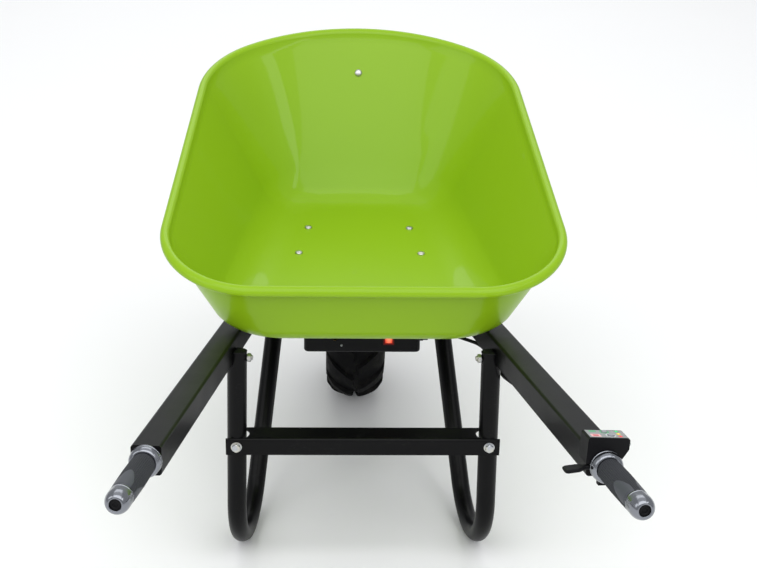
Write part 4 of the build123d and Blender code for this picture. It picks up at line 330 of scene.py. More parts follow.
def piece(name, grids, finish, nodes=(), body="frame", sharp=38, marks=None):
    """Joins grids, rows by columns of points, into one mesh. Equal points are merged, which closes seams
    and poles. Marks, one for each point, are kept for the finish."""
    starts = np.cumsum([0] + [grid[..., 0].size for grid in grids])
    corners = np.concatenate([grid.reshape(-1, 3) for grid in grids]) * MM
    faces = np.concatenate([quads(grid, start) for grid, start in zip(grids, starts)])
    mesh = bpy.data.meshes.new(name)
    mesh.from_pydata(corners.tolist(), [], faces.tolist())
    if marks is not None:
        layer = mesh.attributes.new("mark", "FLOAT", "POINT")
        layer.data.foreach_set("value", marks.astype(np.float32).ravel())
    work = bmesh.new()
    work.from_mesh(mesh)
    bmesh.ops.remove_doubles(work, verts=work.verts, dist=2e-6)
    bmesh.ops.recalc_face_normals(work, faces=work.faces)
    work.to_mesh(mesh)
    work.free()
    mesh.polygons.foreach_set("use_smooth", np.ones(len(mesh.polygons), bool))
    mesh.set_sharp_from_angle(angle=np.radians(sharp))
    thing = shown(name, mesh, finish_of(finish))
    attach(thing, body)
    if nodes:
        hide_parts(*nodes)


def turned(place, profile, columns=64):
    """A profile of (radius, height) points turned about the place's Z direction."""
    radius, height = np.asarray(profile, float).T[:, :, None]
    turn = circle(columns)
    return place.at(radius * cos(turn), radius * sin(turn), height)


def dome(radius, height, base, count, core=0):
    """Profile of a dome: a quarter ellipse that falls from the top, at the core's radius, to the base."""
    fall = np.linspace(0, pi / 2, count)
    return np.stack([core + radius * sin(fall), base + height * cos(fall)], -1)


def hexagon(place, radius, low, high, bore=0):
    """A chamfered hexagon: the radius follows the six flats, and the corners fall off at 30 degrees."""
    turn = circle(72)
    flat = radius * cos(pi / 6)
    edge = flat / cos((turn + pi / 6) % (pi / 3) - pi / 6)
    fall = HEX_CHAMFER * flat + (edge - flat) * np.tan(pi / 6)
    face = HEX_FACE * flat
    radii = np.stack(np.broadcast_arrays(bore, face, edge, edge, face, bore))
    heights = np.stack(np.broadcast_arrays(low, low, low + fall, high - fall, high, high))
    return place.at(radii * cos(turn), radii * sin(turn), heights)


def thread(place, radius, low, high, pitch=1.25):
    """A screw thread: the radius is a triangle wave of the height less the turn."""
    turn = circle(18)
    height = np.linspace(low, high, max(int((high - low) / pitch * 5), 4))[:, None]
    phase = (height / pitch - turn / FULL_TURN) % 1
    radii = radius - THREAD_DEPTH * pitch * np.abs(2 * phase - 1)
    body = place.at(radii * cos(turn), radii * sin(turn), height)
    tip, root = (place.at(0 * turn, 0, end)[None] for end in (low - BOLT_TIP, high))
    return np.concatenate([tip, body, root])


def nut_and_tail(place, grip, radius, head, **pitch):
    """The nut on the far side of the grip, and the threaded tail through it."""
    far = -grip - NUT_HEIGHT
    return [
        hexagon(place, head, far, -grip, radius),
        thread(place, radius, far - BOLT_TAIL + BOLT_TIP, -grip, **pitch),
    ]


def hex_bolt(place, grip, radius=BOLT_RADIUS, head=HEAD_RADIUS, height=HEAD_HEIGHT, washer=0, sheet=0):
    """Hexagon head, on a flange where it has one, with its nut and tail."""
    forms = [hexagon(place, head, sheet, sheet + height)]
    forms += nut_and_tail(place, grip, radius, head, pitch=radius * 0.3)
    if sheet > 0:
        rim = [(0, 0), (washer - 0.4, 0), (washer, 0.4), (washer, 1), (head * 0.9, sheet), (0, sheet)]
        forms.append(turned(place, rim))
    return forms


def hex_bolts(places, *sizes):
    return [form for place in places for form in hex_bolt(place, *sizes)]


def dome_bolt(place, grip, head=7.2, height=3.8, edge=0.7):
    """Dome head, a quarter ellipse over a straight edge, with its nut and tail."""
    profile = [*dome(head, height - edge, edge, 14), (head, 0), (0, 0)]
    return [turned(place, profile, 48), *nut_and_tail(place, grip, BOLT_RADIUS, HEAD_RADIUS)]


def weld_bead(centres, radius, ripple=3.2):
    """A weld along a path: a round bead whose radius swells once per ripple of the path's length."""
    centres = np.asarray(centres, float)
    along = unit(np.gradient(centres, axis=0))
    side = unit(np.cross(along, unit((0.31, 0.43, 0.85))))
    up = np.cross(side, along)
    swell = radius * (1 + WELD_SWELL * cos(FULL_TURN * lengths(centres) / ripple))
    swell[[0, -1]] = 0.02
    turn = circle(12)
    ring = cos(turn)[:, None] * side[:, None] + sin(turn)[:, None] * up[:, None]
    return centres[:, None] + swell[:, None, None] * ring


# Finishes
def maths(kind, swapped=False):
    """A method that puts a wire and a value through one operation of the maths node."""

    def method(self, other=0):
        first, second = (other, self) if swapped else (self, other)
        return self.finish.node("ShaderNodeMath", {"operation": kind}, {0: first, 1: second})

    return method


class Wire:
    """An output of a node, written in arithmetic."""

    def __init__(self, finish, socket):
        self.finish = finish
        self.socket = socket

    __add__ = maths("ADD")
    __radd__ = maths("ADD", True)
    __sub__ = maths("SUBTRACT")
    __rsub__ = maths("SUBTRACT", True)
    __mul__ = maths("MULTIPLY")
    __rmul__ = maths("MULTIPLY", True)
    __pow__ = maths("POWER")
    __abs__ = maths("ABSOLUTE")
    above = maths("GREATER_THAN")
    below = maths("LESS_THAN")
    most = maths("MAXIMUM")


class Finish:
    """A material in the making: one method adds any node, and the rest are words for common groups."""

    def __init__(self, name, **sockets):
        self.material = bpy.data.materials.new(name)
        self.material.use_nodes = True
        self.tree = self.material.node_tree
        self.shader = self.tree.nodes["Principled BSDF"]
        self.spot = self.node("ShaderNodeTexCoord", out="Object")
        self.set(**sockets)

    def node(self, kind, settings=None, inputs=None, out=0):
        """Adds a node of a type, with its settings, then the values or links of its sockets."""
        new = self.tree.nodes.new(kind)
        for key, value in (settings or {}).items():
            setattr(new, key, value)
        for key, value in (inputs or {}).items():
            self.feed(new.inputs[key], value)
        return Wire(self, new.outputs[out])

    def feed(self, socket, value):
        if isinstance(value, Wire):
            self.tree.links.new(value.socket, socket)
        elif socket.type == "RGBA" and len(value) == 3:
            socket.default_value = (*value, 1)
        else:
            socket.default_value = value

    def set(self, **sockets):
        for name, value in sockets.items():
            self.feed(self.shader.inputs[name.replace("_", " ")], value)
        return self

    def stretched(self, scale):
        return self.node("ShaderNodeMapping", {}, {"Vector": self.spot, "Scale": scale})

    def noise(self, scale, detail=3, rough=0.5, vector=None):
        inputs = {"Vector": vector or self.spot, "Scale": scale, "Detail": detail, "Roughness": rough}
        return self.node("ShaderNodeTexNoise", {}, inputs)

    def axis(self, name):
        return self.node("ShaderNodeSeparateXYZ", {}, {0: self.spot}, name)

    def along(self, place, number):
        """Distance from a place's origin along one of its directions, in millimetres."""
        direction = place.axes[number]
        inputs = {0: self.spot, 1: tuple(float(part) / MM for part in direction)}
        reach = self.node("ShaderNodeVectorMath", {"operation": "DOT_PRODUCT"}, inputs, "Value")
        return reach - float(np.dot(direction, place.origin))

    def mix(self, share, low, high):
        return self.node("ShaderNodeMix", {"data_type": "RGBA"}, {0: share, 6: low, 7: high}, 2)

    def colour(self, share, low, high):
        return self.set(Base_Color=self.mix(share, low, high))

    def ramp(self, value, low, high):
        """Rises smoothly from 0 to 1 as the value goes from low to high."""
        inputs = {"Value": value, "From Min": low, "From Max": high}
        return self.node("ShaderNodeMapRange", {"interpolation_type": "SMOOTHSTEP"}, inputs)

    def bump(self, height, strength, distance):
        inputs = {"Strength": strength, "Distance": distance, "Height": height}
        return self.set(Normal=self.node("ShaderNodeBump", {}, inputs))


def scaled(colour, by):
    return tuple(min(part * by, 1) for part in colour)


def lime_paint(colour):
    """Satin paint on pressed steel: a faint mottle, orange peel and a few hairline scuffs."""
    look = Finish("lime_paint", Coat_Roughness=0.04, Specular_IOR_Level=0.14)
    mottle = look.noise(5)
    body = look.mix(mottle, scaled(colour, 0.97), scaled(colour, 1.03))
    hair = look.noise(1, 5, 0.7, look.stretched((160, 9, 60)))
    scuff = 1 - look.ramp(abs(hair - 0.5), 0, 0.008)
    patch = look.ramp(look.noise(5.5, 2), 0.54, 0.70)
    low = 1 - look.ramp(look.axis("Z"), 0.43, 0.52)
    wear = scuff * patch * (0.15 + 0.85 * low)
    look.colour(wear * 0.12, body, scaled(colour, 1.4))
    look.set(Roughness=0.30 + 0.05 * mottle + 0.12 * wear, Coat_Weight=0.22 - 0.1 * wear)
    return look.bump(look.noise(260, 2) + 0.25 * mottle, 0.03, 0.001)


def black_paint(colour):
    """Gloss black paint over tube: orange peel, a breath of dust and hairline rubs."""
    look = Finish("black_paint", Coat_Roughness=0.08, Specular_IOR_Level=0.09)
    cloud = look.noise(16, 4)
    dust = look.ramp(look.noise(210, 4, 0.7), 0.60, 0.82) * look.ramp(cloud, 0.42, 0.7)
    rub = look.noise(1, 4, vector=look.stretched((40, 40, 400)))
    rub = (1 - look.ramp(abs(rub - 0.5), 0, 0.01)) * look.ramp(cloud, 0.5, 0.62)
    look.colour(0.03 * dust + 0.05 * rub, colour, (0.34, 0.34, 0.33))
    look.set(Roughness=0.30 + 0.10 * cloud + 0.16 * dust + 0.10 * rub, Coat_Weight=0.045 - 0.03 * dust)
    return look.bump(look.noise(330, 2), 0.05, 0.001)


def zinc_plate():
    """Bright zinc: cool metal with faint warm and blue clouds and fine tool marks."""
    look = Finish("zinc_plate", Metallic=1)
    cloud = look.noise(90)
    tint = look.mix(look.ramp(cloud, 0.35, 0.65), (0.46, 0.48, 0.51), (0.56, 0.55, 0.49))
    spots = look.ramp(look.noise(420), 0.62, 0.75)
    look.colour(0.35 * spots, tint, (0.30, 0.30, 0.29))
    look.set(Roughness=0.26 + 0.16 * cloud + 0.12 * spots)
    return look.bump(look.noise(900, 2), 0.12, 0.0004)


def turned_alloy():
    """Polished aluminium off a lathe: rings along the bar's axis break up the gloss."""
    look = Finish("turned_alloy", Metallic=1)
    outboard, back, up = (float(part) for part in RAIL.axes[2])
    along = abs(look.axis("X")) * outboard + (look.axis("Y") * back + look.axis("Z") * up)
    inputs = {"W": along, "Scale": 2600, "Detail": 3}
    rings = look.node("ShaderNodeTexNoise", {"noise_dimensions": "1D"}, inputs)
    smear = look.noise(60, 4)
    look.colour(smear, (0.20, 0.21, 0.235), (0.27, 0.28, 0.305))
    look.set(Roughness=0.13 + 0.10 * rings + 0.10 * look.ramp(smear, 0.5, 0.75))
    return look.bump(rings, 0.10, 0.0003)


def moulded(name, colour, rough=0.46, grain=700, depth=0.16):
    """Moulded plastic or rubber: a fine grain, a soft sheen and handled, smoother patches."""
    look = Finish(name, Specular_IOR_Level=0.13)
    cloud = look.noise(22, 4)
    dust = look.ramp(look.noise(260, 5, 0.7), 0.58, 0.85)
    look.colour(0.16 * dust * cloud, colour, scaled(colour, 4))
    look.set(Roughness=rough - 0.10 + 0.2 * cloud)
    return look.bump(look.noise(grain), depth, 0.0005)


def grip_rubber(colour):
    """Rubber of the grips: dull between the ribs, smoother and paler on the marked tongues."""
    look = Finish("grip_rubber", Specular_IOR_Level=0.3)
    tongue = look.node("ShaderNodeAttribute", {"attribute_name": "mark"}, out=2)
    cloud = look.noise(30, 4)
    ribbed = look.mix(cloud, scaled(colour, 0.85), scaled(colour, 1.15))
    look.colour(tongue, ribbed, scaled(colour, 2.1))
    look.set(Roughness=0.66 - 0.24 * tongue + 0.1 * cloud)
    return look.bump(look.noise(900) * (1 - 0.7 * tongue), 0.22, 0.0005)


def tyre_rubber():
    """Tyre rubber: matte, paler with dust in patches, except on the worn tops of the lugs."""
    look = Finish("tyre_rubber", Specular_IOR_Level=0.05)
    across = look.axis("Y") - HUB_Y * MM
    up = look.axis("Z") - HUB_Z * MM
    radius = (across * across + up * up) ** 0.5
    cloud = look.noise(30, 5, 0.6)
    worn = look.ramp(radius, 0.186, 0.199)
    dust = look.ramp(cloud, 0.42, 0.72) * (1 - 0.8 * worn)
    look.colour(0.22 * dust, (0.007, 0.007, 0.0075), (0.09, 0.085, 0.075))
    look.set(Roughness=0.62 + 0.22 * dust - 0.08 * worn)
    return look.bump(look.noise(520, 4) + 0.4 * cloud, 0.2, 0.0007)


def cast_alloy():
    """Cast aluminium: satin metal with a sandy skin and darker pits."""
    look = Finish("cast_alloy", Metallic=1)
    cloud = look.noise(40, 4)
    pits = look.ramp(look.noise(480), 0.60, 0.72)
    skin = look.mix(cloud, (0.50, 0.51, 0.53), (0.62, 0.63, 0.65))
    look.colour(0.5 * pits, skin, (0.2, 0.2, 0.2))
    look.set(Roughness=0.34 + 0.14 * cloud + 0.15 * pits)
    return look.bump(look.noise(620), 0.25, 0.0005)


def plain_metal(name, colour, rough):
    """Metal of the hidden pieces: the colour and gloss waver a little."""
    look = Finish(name, Metallic=1)
    cloud = look.noise(120, 4)
    look.colour(cloud, scaled(colour, 0.8), scaled(colour, 1.15))
    look.set(Roughness=rough + 0.15 * cloud)
    return look.bump(cloud, 0.1, 0.0004)


def panel_print():
    """Grey film with printed marks: a green field, a red patch, rings round the keys and a lamp column."""
    look = Finish("panel_print", Coat_Weight=0.4, Coat_Roughness=0.12)
    x, y = look.along(PANEL, 0), look.along(PANEL, 1)

    def block(centre, half):
        return (abs(x - centre[0]) - half[0]).most(abs(y - centre[1]) - half[1]).below(0)

    def reach(centre):
        return ((x - centre[0]) ** 2 + (y - centre[1]) ** 2) ** 0.5

    def ring(centre, radius, half):
        return abs(reach(centre) - radius).below(half)

    green, amber, red = (0.02, 0.36, 0.12), (0.62, 0.50, 0.04), (0.55, 0.05, 0.07)
    marks = [
        (block((-14.5, 25), (4.6, 2.6)), green),
        (block((-14.5, 9.5), (6.5, 5)), (0.80, 0.42, 0.42)),
        (block((-14.5, 9.5), (3.8, 2.6)), red),
        (ring(POWER_PLACE, 5.4, 0.9), green),
        (reach(MODE_PLACE).below(6), (0.16, 0.165, 0.18)),
        (ring(MODE_PLACE, 6.2, 0.6), (0.62, 0.64, 0.64)),
    ]
    marks += [(ring((LAMP_X, back), 2.8, 0.5), tint) for back, tint in zip(LAMP_BACK, (green, amber, red))]
    marks.append((block((11.6, 16.5), (0.35, 10.5)), (0.32, 0.33, 0.35)))
    film = look.mix(look.noise(300), (0.23, 0.245, 0.24), (0.28, 0.295, 0.29))
    for share, tint in marks:
        film = look.mix(share, film, tint)
    return look.set(Base_Color=film, Roughness=0.32 + 0.1 * look.noise(90))


def lamp_lens():
    """Three lamp lenses in one material: green, amber and red along the panel."""
    look = Finish("lamp_lens", Coat_Weight=0.6, Emission_Strength=0.8)
    y = look.along(PANEL, 1)
    colour = look.mix(y.above(11.5), (0.70, 0.03, 0.02), (0.75, 0.50, 0.02))
    colour = look.mix(y.above(21), colour, (0.03, 0.55, 0.16))
    return look.set(Base_Color=colour, Emission_Color=colour, Roughness=0.22 + 0.1 * look.noise(800))


def switch_place(look):
    """Distances across and up from the middle of the rocker, and how far a point lies outside it."""
    x = look.along(BOX_FACE, 0) - SWITCH_X
    y = look.along(BOX_FACE, 1) - SWITCH_UP
    return x, y, (abs(x) - ROCKER_HALF[0]).most(abs(y) - ROCKER_HALF[1])


def lit_rocker():
    """Red lit rocker: pale where the lamp sits behind it, deepening to its edges."""
    look = Finish("lit_rocker", Coat_Weight=0.3, Emission_Strength=1)
    x, y, _ = switch_place(look)
    reach = (x * x + 0.3 * y * y) ** 0.5
    cloud = look.noise(500)
    colour = look.mix(look.ramp(reach + cloud, 2, 8.5), (1, 0.22, 0.12), (0.42, 0.012, 0.006))
    return look.set(Base_Color=colour, Emission_Color=colour, Roughness=0.28 + 0.1 * cloud)


def glow_painted_bezel():
    """Black moulded bezel with a painted dark red glow near the rocker: emission that stands in for the
    rocker's light falling on it.
    """
    look = Finish("glow_painted_bezel", Specular_IOR_Level=0.13, Emission_Strength=1)
    _, _, outside = switch_place(look)
    cloud = look.noise(700)
    # painted glow: emission strongest at the rocker's edge, fading out over 4.5 mm, in place of the
    # rocker's light on the bezel
    painted_glow = 1 - look.ramp(outside, 0, 4.5)
    look.colour(cloud, (0.006, 0.006, 0.007), (0.010, 0.009, 0.010))
    look.set(Emission_Color=look.mix(painted_glow, (0, 0, 0), (0.17, 0.004, 0.002)))
    look.set(Roughness=0.36 + 0.2 * cloud)
    return look.bump(cloud, 0.16, 0.0005)


@cache
def finish_of(name):
    """The finished material of that name, made when it is first asked for."""
    paint = bpy.context.scene.barrow_paint
    makers = {
        "tray_paint": (lime_paint, paint.tray_colour),
        "frame_paint": (black_paint, paint.frame_colour),
        "zinc": (zinc_plate,),
        "polished_alloy": (turned_alloy,),
        "grip_rubber": (grip_rubber, paint.grip_colour),
        "black_plastic": (moulded, "black_plastic", (0.005, 0.005, 0.006)),
        "cable_sheath": (moulded, "cable_sheath", (0.010, 0.010, 0.011), 0.42, 500, 0.08),
        "grey_key": (moulded, "grey_key", (0.30, 0.31, 0.33), 0.45, 900, 0.1),
        "battery_wrap": (moulded, "battery_wrap", (0.02, 0.07, 0.22), 0.3, 200, 0.1),
        "tyre_rubber": (tyre_rubber,),
        "motor_alloy": (cast_alloy,),
        "core_steel": (plain_metal, "core_steel", (0.40, 0.40, 0.42), 0.4),
        "copper": (plain_metal, "copper_wire", (0.72, 0.34, 0.16), 0.3),
        "magnet": (plain_metal, "nickel_plate", (0.62, 0.61, 0.58), 0.25),
        "panel_film": (panel_print,),
        "lamp_lens": (lamp_lens,),
        "red_lens": (lit_rocker,),
        "glow_painted_bezel": (glow_painted_bezel,),
        "pin_brass": (plain_metal, "pin_brass", (0.82, 0.70, 0.42), 0.18),
    }
    maker, *values = makers[name]
    return maker(*values).material


# Tray
def height_of(edge, station):
    """Height of the tray's floor or rim at a station."""
    return edge.z + edge.slope * (station - edge.rear)


def wall_shift(level, run, rise, bend):
    """Outward shift at a share of a wall's rise: a straight lean, rounded into the floor by an arc."""
    lean = np.arctan(run / rise)
    reach = bend * np.tan(pi / 4 - lean / 2)
    height = level * rise
    arc = np.sqrt(np.maximum(bend**2 - (bend - height) ** 2, 0)) - reach
    return np.where(height < reach * cos(lean), arc, height * np.tan(lean))


def tray_rings(level, grow, lift):
    """Outlines of the tray at shares of its height, as rings of points. An outline is the nose's arc, an
    arc into the straight side and an arc into the straight rear, mirrored. It lies on a plane whose slope
    runs from the floor's to the rim's, and is moved out by grow and up by lift."""
    level, grow, lift = (np.asarray(value, float)[:, None] for value in (level, grow, lift))

    def blend(low, high):
        return between(low, high, level)

    def wall(low, high, bend, foot, top):
        """Place of a wall that leans from low to high, between stations of the floor and the rim."""
        rise = height_of(RIM, top) - height_of(FLOOR, foot)
        return low + wall_shift(level, high - low, rise, bend)

    wall_rear, wall_nose = RIM.rear + SEAT, RIM.nose - SEAT
    side_rear, side_nose = FLOOR.rear + FLOOR.round_rear, FLOOR.nose - FLOOR.round_nose
    slope = blend(FLOOR.slope, RIM.slope)
    stretch = np.sqrt(1 + slope**2)
    height = blend(height_of(FLOOR, 0), height_of(RIM, 0)) + lift
    rear = -wall(-FLOOR.rear, -wall_rear, REAR_BEND, FLOOR.rear, wall_rear) * stretch
    nose = wall(FLOOR.nose, wall_nose, NOSE_BEND, FLOOR.nose, wall_nose) * stretch
    half_rear = wall(FLOOR.half_rear, RIM.half_rear - SEAT, SIDE_BEND, side_rear, side_rear)
    half_nose = wall(FLOOR.half_nose, RIM.half_nose - SEAT, SIDE_BEND, side_nose, side_nose)
    sag = blend(FLOOR.sag, RIM.sag)
    corner = nose - sag
    round_nose = blend(FLOOR.round_nose, RIM.round_nose - SEAT)
    round_rear = blend(FLOOR.round_rear, RIM.round_rear - SEAT)

    arc = (half_nose**2 + sag**2) / (2 * sag)
    centre = nose - arc
    run = np.hypot(half_nose - half_rear, corner - rear)
    dx, dy = (half_nose - half_rear) / run, (corner - rear) / run
    px, py = half_rear - dy * round_nose, rear + dx * round_nose - centre
    mid = px * dx + py * dy
    travel = -mid + np.sqrt(mid**2 - (px**2 + py**2 - (arc - round_nose) ** 2))
    cx, cy = px + dx * travel, py + dy * travel
    top, side = np.arctan2(cy, cx), np.arctan2(-dx, dy)
    back = round_rear * (1 - dx) / dy
    bx, by = half_rear - dy * round_rear + dx * back, rear + round_rear

    def sector(ox, oy, radius, start, end, count):
        """Points of an arc, each with its outward direction."""
        turn = between(start, end, even(count))
        return np.stack([ox + radius * cos(turn), oy + radius * sin(turn), cos(turn), sin(turn)], -1)

    bow = sector(0 * centre, centre, arc, pi / 2 + 0 * top, top, 14)[:, :-1]
    shoulder = sector(cx, cy + centre, round_nose, top, side, 30)
    heel = sector(bx, by, round_rear, side, -pi / 2 + 0 * side, 26)
    flank = between(shoulder[:, -1:], heel[:, :1], even(20)[:, None])
    tail_end = heel[:, -1:] * np.array([0, 1, 1, 1])
    tail = between(heel[:, -1:], tail_end, even(14)[:, None])
    half = np.concatenate([bow, shoulder, flank[:, 1:-1], heel, tail[:, 1:]], 1)
    x = half[..., 0] + grow * half[..., 2]
    y = half[..., 1] + grow * half[..., 3]
    x[:, [0, -1]] = 0
    ring = np.stack([x, LEG_Y + y / stretch, height + y * slope / stretch], -1)
    return np.concatenate([ring, mirrored(ring)[:, -2::-1]], 1)


def tray_skin():
    """The pressed tray as one closed skin: inner floor and wall, rolled rim, its inside, outer wall and
    outer floor. The rim's rings lie on a circle round the bead's middle."""
    level = KNEE * even(20) ** 1.5

    def wall(grow, lift):
        """Rings up the bend at the floor, then straight lines from its top ring to the ring at the rim."""
        bend = tray_rings(level, grow + 0 * level, lift)
        top = tray_rings([1], [grow], [0])
        return np.concatenate([bend, between(bend[-1], top, even(16)[1:, None, None])])

    def curl(radius):
        turn = np.linspace(0, CURL_TURN, 30)
        return tray_rings(np.ones_like(turn), SEAT - radius * cos(turn), radius * sin(turn))

    def floor(ring):
        """Rings that shrink to a point in the middle of the ring, on the line from its nose to its rear."""
        nose, rear = ring[0], ring[len(ring) // 2]
        middle = np.array([0, ring[:, 1].mean(), 0])
        middle[2] = np.interp(middle[1], (rear[1], nose[1]), (rear[2], nose[2]))
        return between(middle, ring, even(7)[:, None, None])

    inner = wall(-TRAY_INSET * SHEET, SHEET * (1 - level / KNEE))
    outer = wall(0, 0 * level)[::-1]
    rim = [curl(BEAD), curl(SEAT)[::-1]]
    return np.concatenate([floor(inner[0]), inner[1:-1], *rim, outer[1:-1], floor(outer[-1])[::-1]])


def nose_bolt_place():
    """Where the nose bolt sits: on the straight part of the nose wall's middle, square to it."""
    low, high = (tray_rings([level], [0], [0])[0, 0] for level in (KNEE, 1))
    seat = between(low, high, (NOSE_BOLT_LEVEL - KNEE) / (1 - KNEE))
    outward = unit(np.cross(high - low, (1, 0, 0)))
    return Place(seat - SHEET * outward, (1, 0, 0), -outward)


# Tyre
def rounded_line(points, passes, count):
    """A line of points, rounded and spaced evenly. Each pass of rounding keeps the points at a quarter and
    three quarters of every run."""
    points = np.asarray(points, float)
    for _ in range(passes):
        first, last = points[:-1], points[1:]
        inner = np.stack([0.75 * first + 0.25 * last, 0.25 * first + 0.75 * last], 1).reshape(-1, 2)
        points = np.concatenate([points[:1], inner, points[-1:]])
    length = lengths(points)
    share = np.linspace(0, length[-1], count)
    return np.stack([np.interp(share, length, column) for column in points.T], -1)


def tyre_skin(settings):
    """The tyre as a grid of turns by rows across. Rows run over the tread and down each side wall. The
    turn of a row is sheared by its distance from the middle, so the lugs' walls follow the grid. On a lug
    the row moves from the carcass to the lug's own top line."""
    pitch = FULL_TURN / settings.lug_pairs
    lug = settings.lug_width / MM / cos(LUG_SLANT) / TREAD_RADIUS / 2
    edges = np.array([side * lug + edge for side in (-1, 1) for edge in (-LUG_WALL, 0, LUG_WALL)])
    fill = np.linspace(-pitch / 2, pitch / 2, 25)
    marks = np.unique(np.round(np.concatenate([edges, edges + pitch / 2, edges - pitch / 2, fill]), 6))
    marks = marks[(marks >= -pitch / 2) & (marks < pitch / 2)]
    turn = (marks + pitch * np.arange(settings.lug_pairs)[:, None]).ravel()
    turn = np.append(turn, turn[0] + FULL_TURN)

    foot = (57.2, 158)
    crown = rounded_line([(0, TREAD_RADIUS), (12, TREAD_RADIUS), (36, 183), (54, 170), foot], 4, 40)
    lug_top = [(0, 200), (16, 200), (31, 194), (45, 187), (55, 173.5), (LUG_OUTER_HALF, 169), (58.2, 158)]
    bar = rounded_line(lug_top, 1, 40)
    side_wall = [foot, (60.5, 146), (59, 135), (52, 123), (45, 116.5), (40.6, 113.5), (40.6, 102.4)]
    flank = rounded_line(side_wall, 3, 44)[1:]
    ridge = sum(0.9 * np.exp(-(((flank[:, 1] - place) / 1.3) ** 2)) for place in FLANK_RIDGES)
    flank = flank + ridge[:, None] * np.array([1, 0.25]) * (flank[:, :1] > FLANK_INNER_HALF)

    def half(side, shift):
        offset = (turn - shift + pitch / 2) % pitch - pitch / 2
        on = np.clip((lug + LUG_WALL - np.abs(offset)) / LUG_WALL, 0, 1)[:, None]
        start = np.clip((crown[:, 0] - LUG_START) / LUG_START, 0, 1)
        rise = on[..., None] * start[:, None]
        tread = between(crown, bar, rise)
        rows = np.concatenate([tread, np.broadcast_to(flank, (len(turn), *flank.shape))], 1)
        reach = np.concatenate([np.maximum(crown[:, 0], LUG_GAP_HALF), np.full(len(flank), LUG_OUTER_HALF)])
        angle = turn[:, None] + (reach - LUG_GAP_HALF) * np.tan(LUG_SLANT) / TREAD_RADIUS
        across, radius = rows[..., 0], rows[..., 1]
        return np.stack([side * across, HUB_Y + radius * sin(angle), HUB_Z + radius * cos(angle)], -1)

    right, left = half(1, 0), half(-1, pitch / 2)
    seat = between(right[:, -1:], left[:, -1:], even(5)[1:-1, None])
    return np.concatenate([right, seat, left[:, ::-1]], 1)


# Grips
def grip_skin(start, spin, settings):
    """A ribbed sleeve: the radius is the sleeve's barrel plus lengthwise ribs, cosine waves of the turn,
    which stop at three smooth tongues that run up from the cap."""
    depth = settings.rib_depth / MM
    turn = circle(12 * settings.ribs)
    lip = np.array([0, 0.5, 1.2])
    middle = np.linspace(GRIP_EDGE, GRIP_LENGTH - GRIP_EDGE, 70)
    along = np.concatenate([lip, middle, GRIP_LENGTH - lip[::-1]])[:, None]
    end = np.minimum(along, GRIP_LENGTH - along)
    barrel = np.interp(along, *np.transpose(GRIP_BARREL))
    run, fall = GRIP_ROUND
    barrel = barrel - fall * (1 - np.sqrt(np.minimum(end / run, 1)))
    tongue = np.zeros((len(along), len(turn)))
    width = TONGUE_HALF * np.sqrt(np.clip((along - TONGUE_START) / TONGUE_RUN, 0, 1))
    for centre in spin + FULL_TURN / 3 * np.arange(3):
        away = np.abs((turn - centre + pi) % FULL_TURN - pi)
        tongue = np.maximum(tongue, np.clip((width - away) / TONGUE_EDGE, 0, 1))
    ribs = (0.5 + 0.5 * cos(settings.ribs * turn)) * depth
    raised = ribs * (1 - tongue) + tongue * TONGUE_RISE * depth
    radius = barrel - depth + raised * np.clip((end - GRIP_EDGE) / RIB_FADE, 0, 1)
    bore = np.full((1, len(turn)), BAR_BORE)
    rows = np.concatenate([bore, radius, bore, bore])
    back = np.concatenate([[[0]], along, [[GRIP_LENGTH]], [[0]]]) + start + RAIL_BEHIND
    marks = np.concatenate([0 * bore, tongue, 0 * bore, 0 * bore])
    return RAIL.at(rows * cos(turn), rows * sin(turn), back), marks


# Settings that a user would change
COLOUR = {"subtype": "COLOR", "min": 0, "max": 1}


class BarrowPaint(bpy.types.PropertyGroup):
    """Colours of the painted and moulded pieces"""

    tray_colour: bpy.props.FloatVectorProperty(
        name="Tray", description="Paint of the tray", default=(0.243, 0.430, 0.008), **COLOUR
    )
    frame_colour: bpy.props.FloatVectorProperty(
        name="Frame", description="Paint of the rails and legs", default=(0.003, 0.003, 0.0033), **COLOUR
    )
    grip_colour: bpy.props.FloatVectorProperty(
        name="Grips", description="Rubber of the grips", default=(0.026, 0.028, 0.033), **COLOUR
    )


class BarrowTyre(bpy.types.PropertyGroup):
    """Sizes of the tyre's tread"""

    lug_pairs: bpy.props.IntProperty(
        name="Lug pairs", description="Pairs of bars round the tread", default=16, min=6
    )
    lug_width: bpy.props.FloatProperty(
        name="Lug width", description="Width of a bar, square to it", default=0.015, unit="LENGTH"
    )


class BarrowGrip(bpy.types.PropertyGroup):
    """Sizes of the grips' ribs"""

    ribs: bpy.props.IntProperty(name="Ribs", description="Ribs round a grip", default=40, min=8)
    rib_depth: bpy.props.FloatProperty(
        name="Rib depth", description="Height of the ribs", default=0.0006, unit="LENGTH", precision=4
    )


class BarrowStage(bpy.types.PropertyGroup):
    """Camera, light and floor"""

    camera_place: bpy.props.FloatVectorProperty(
        name="Camera", description="Place of the camera",
        default=(-0.0696, -2.1875, 1.4101), subtype="TRANSLATION",
    )
    camera_turn: bpy.props.FloatVectorProperty(
        name="Turn", description="Camera's fall, turn to the right and roll",
        default=(0.40172, 0.04309, 0.02342), subtype="EULER",
    )
    focal: bpy.props.FloatProperty(
        name="Focal length", description="In pixels of the picture", default=1422.9
    )
    floor_colour: bpy.props.FloatVectorProperty(
        name="Floor", description="Colour of the floor", default=(0.92, 0.92, 0.92), **COLOUR
    )
    light: bpy.props.FloatProperty(
        name="Light", description="Power of the main softbox", default=150, unit="POWER"
    )


class BARROW_OT_tray(bpy.types.Operator):
    """Form the pressed tray with its rolled rim"""

    bl_idname = "barrow.tray"
    bl_label = "Tray"

    def execute(self, context):
        piece("pressed_tray", [tray_skin()], "tray_paint", ["tray"], sharp=50)
        return {"FINISHED"}


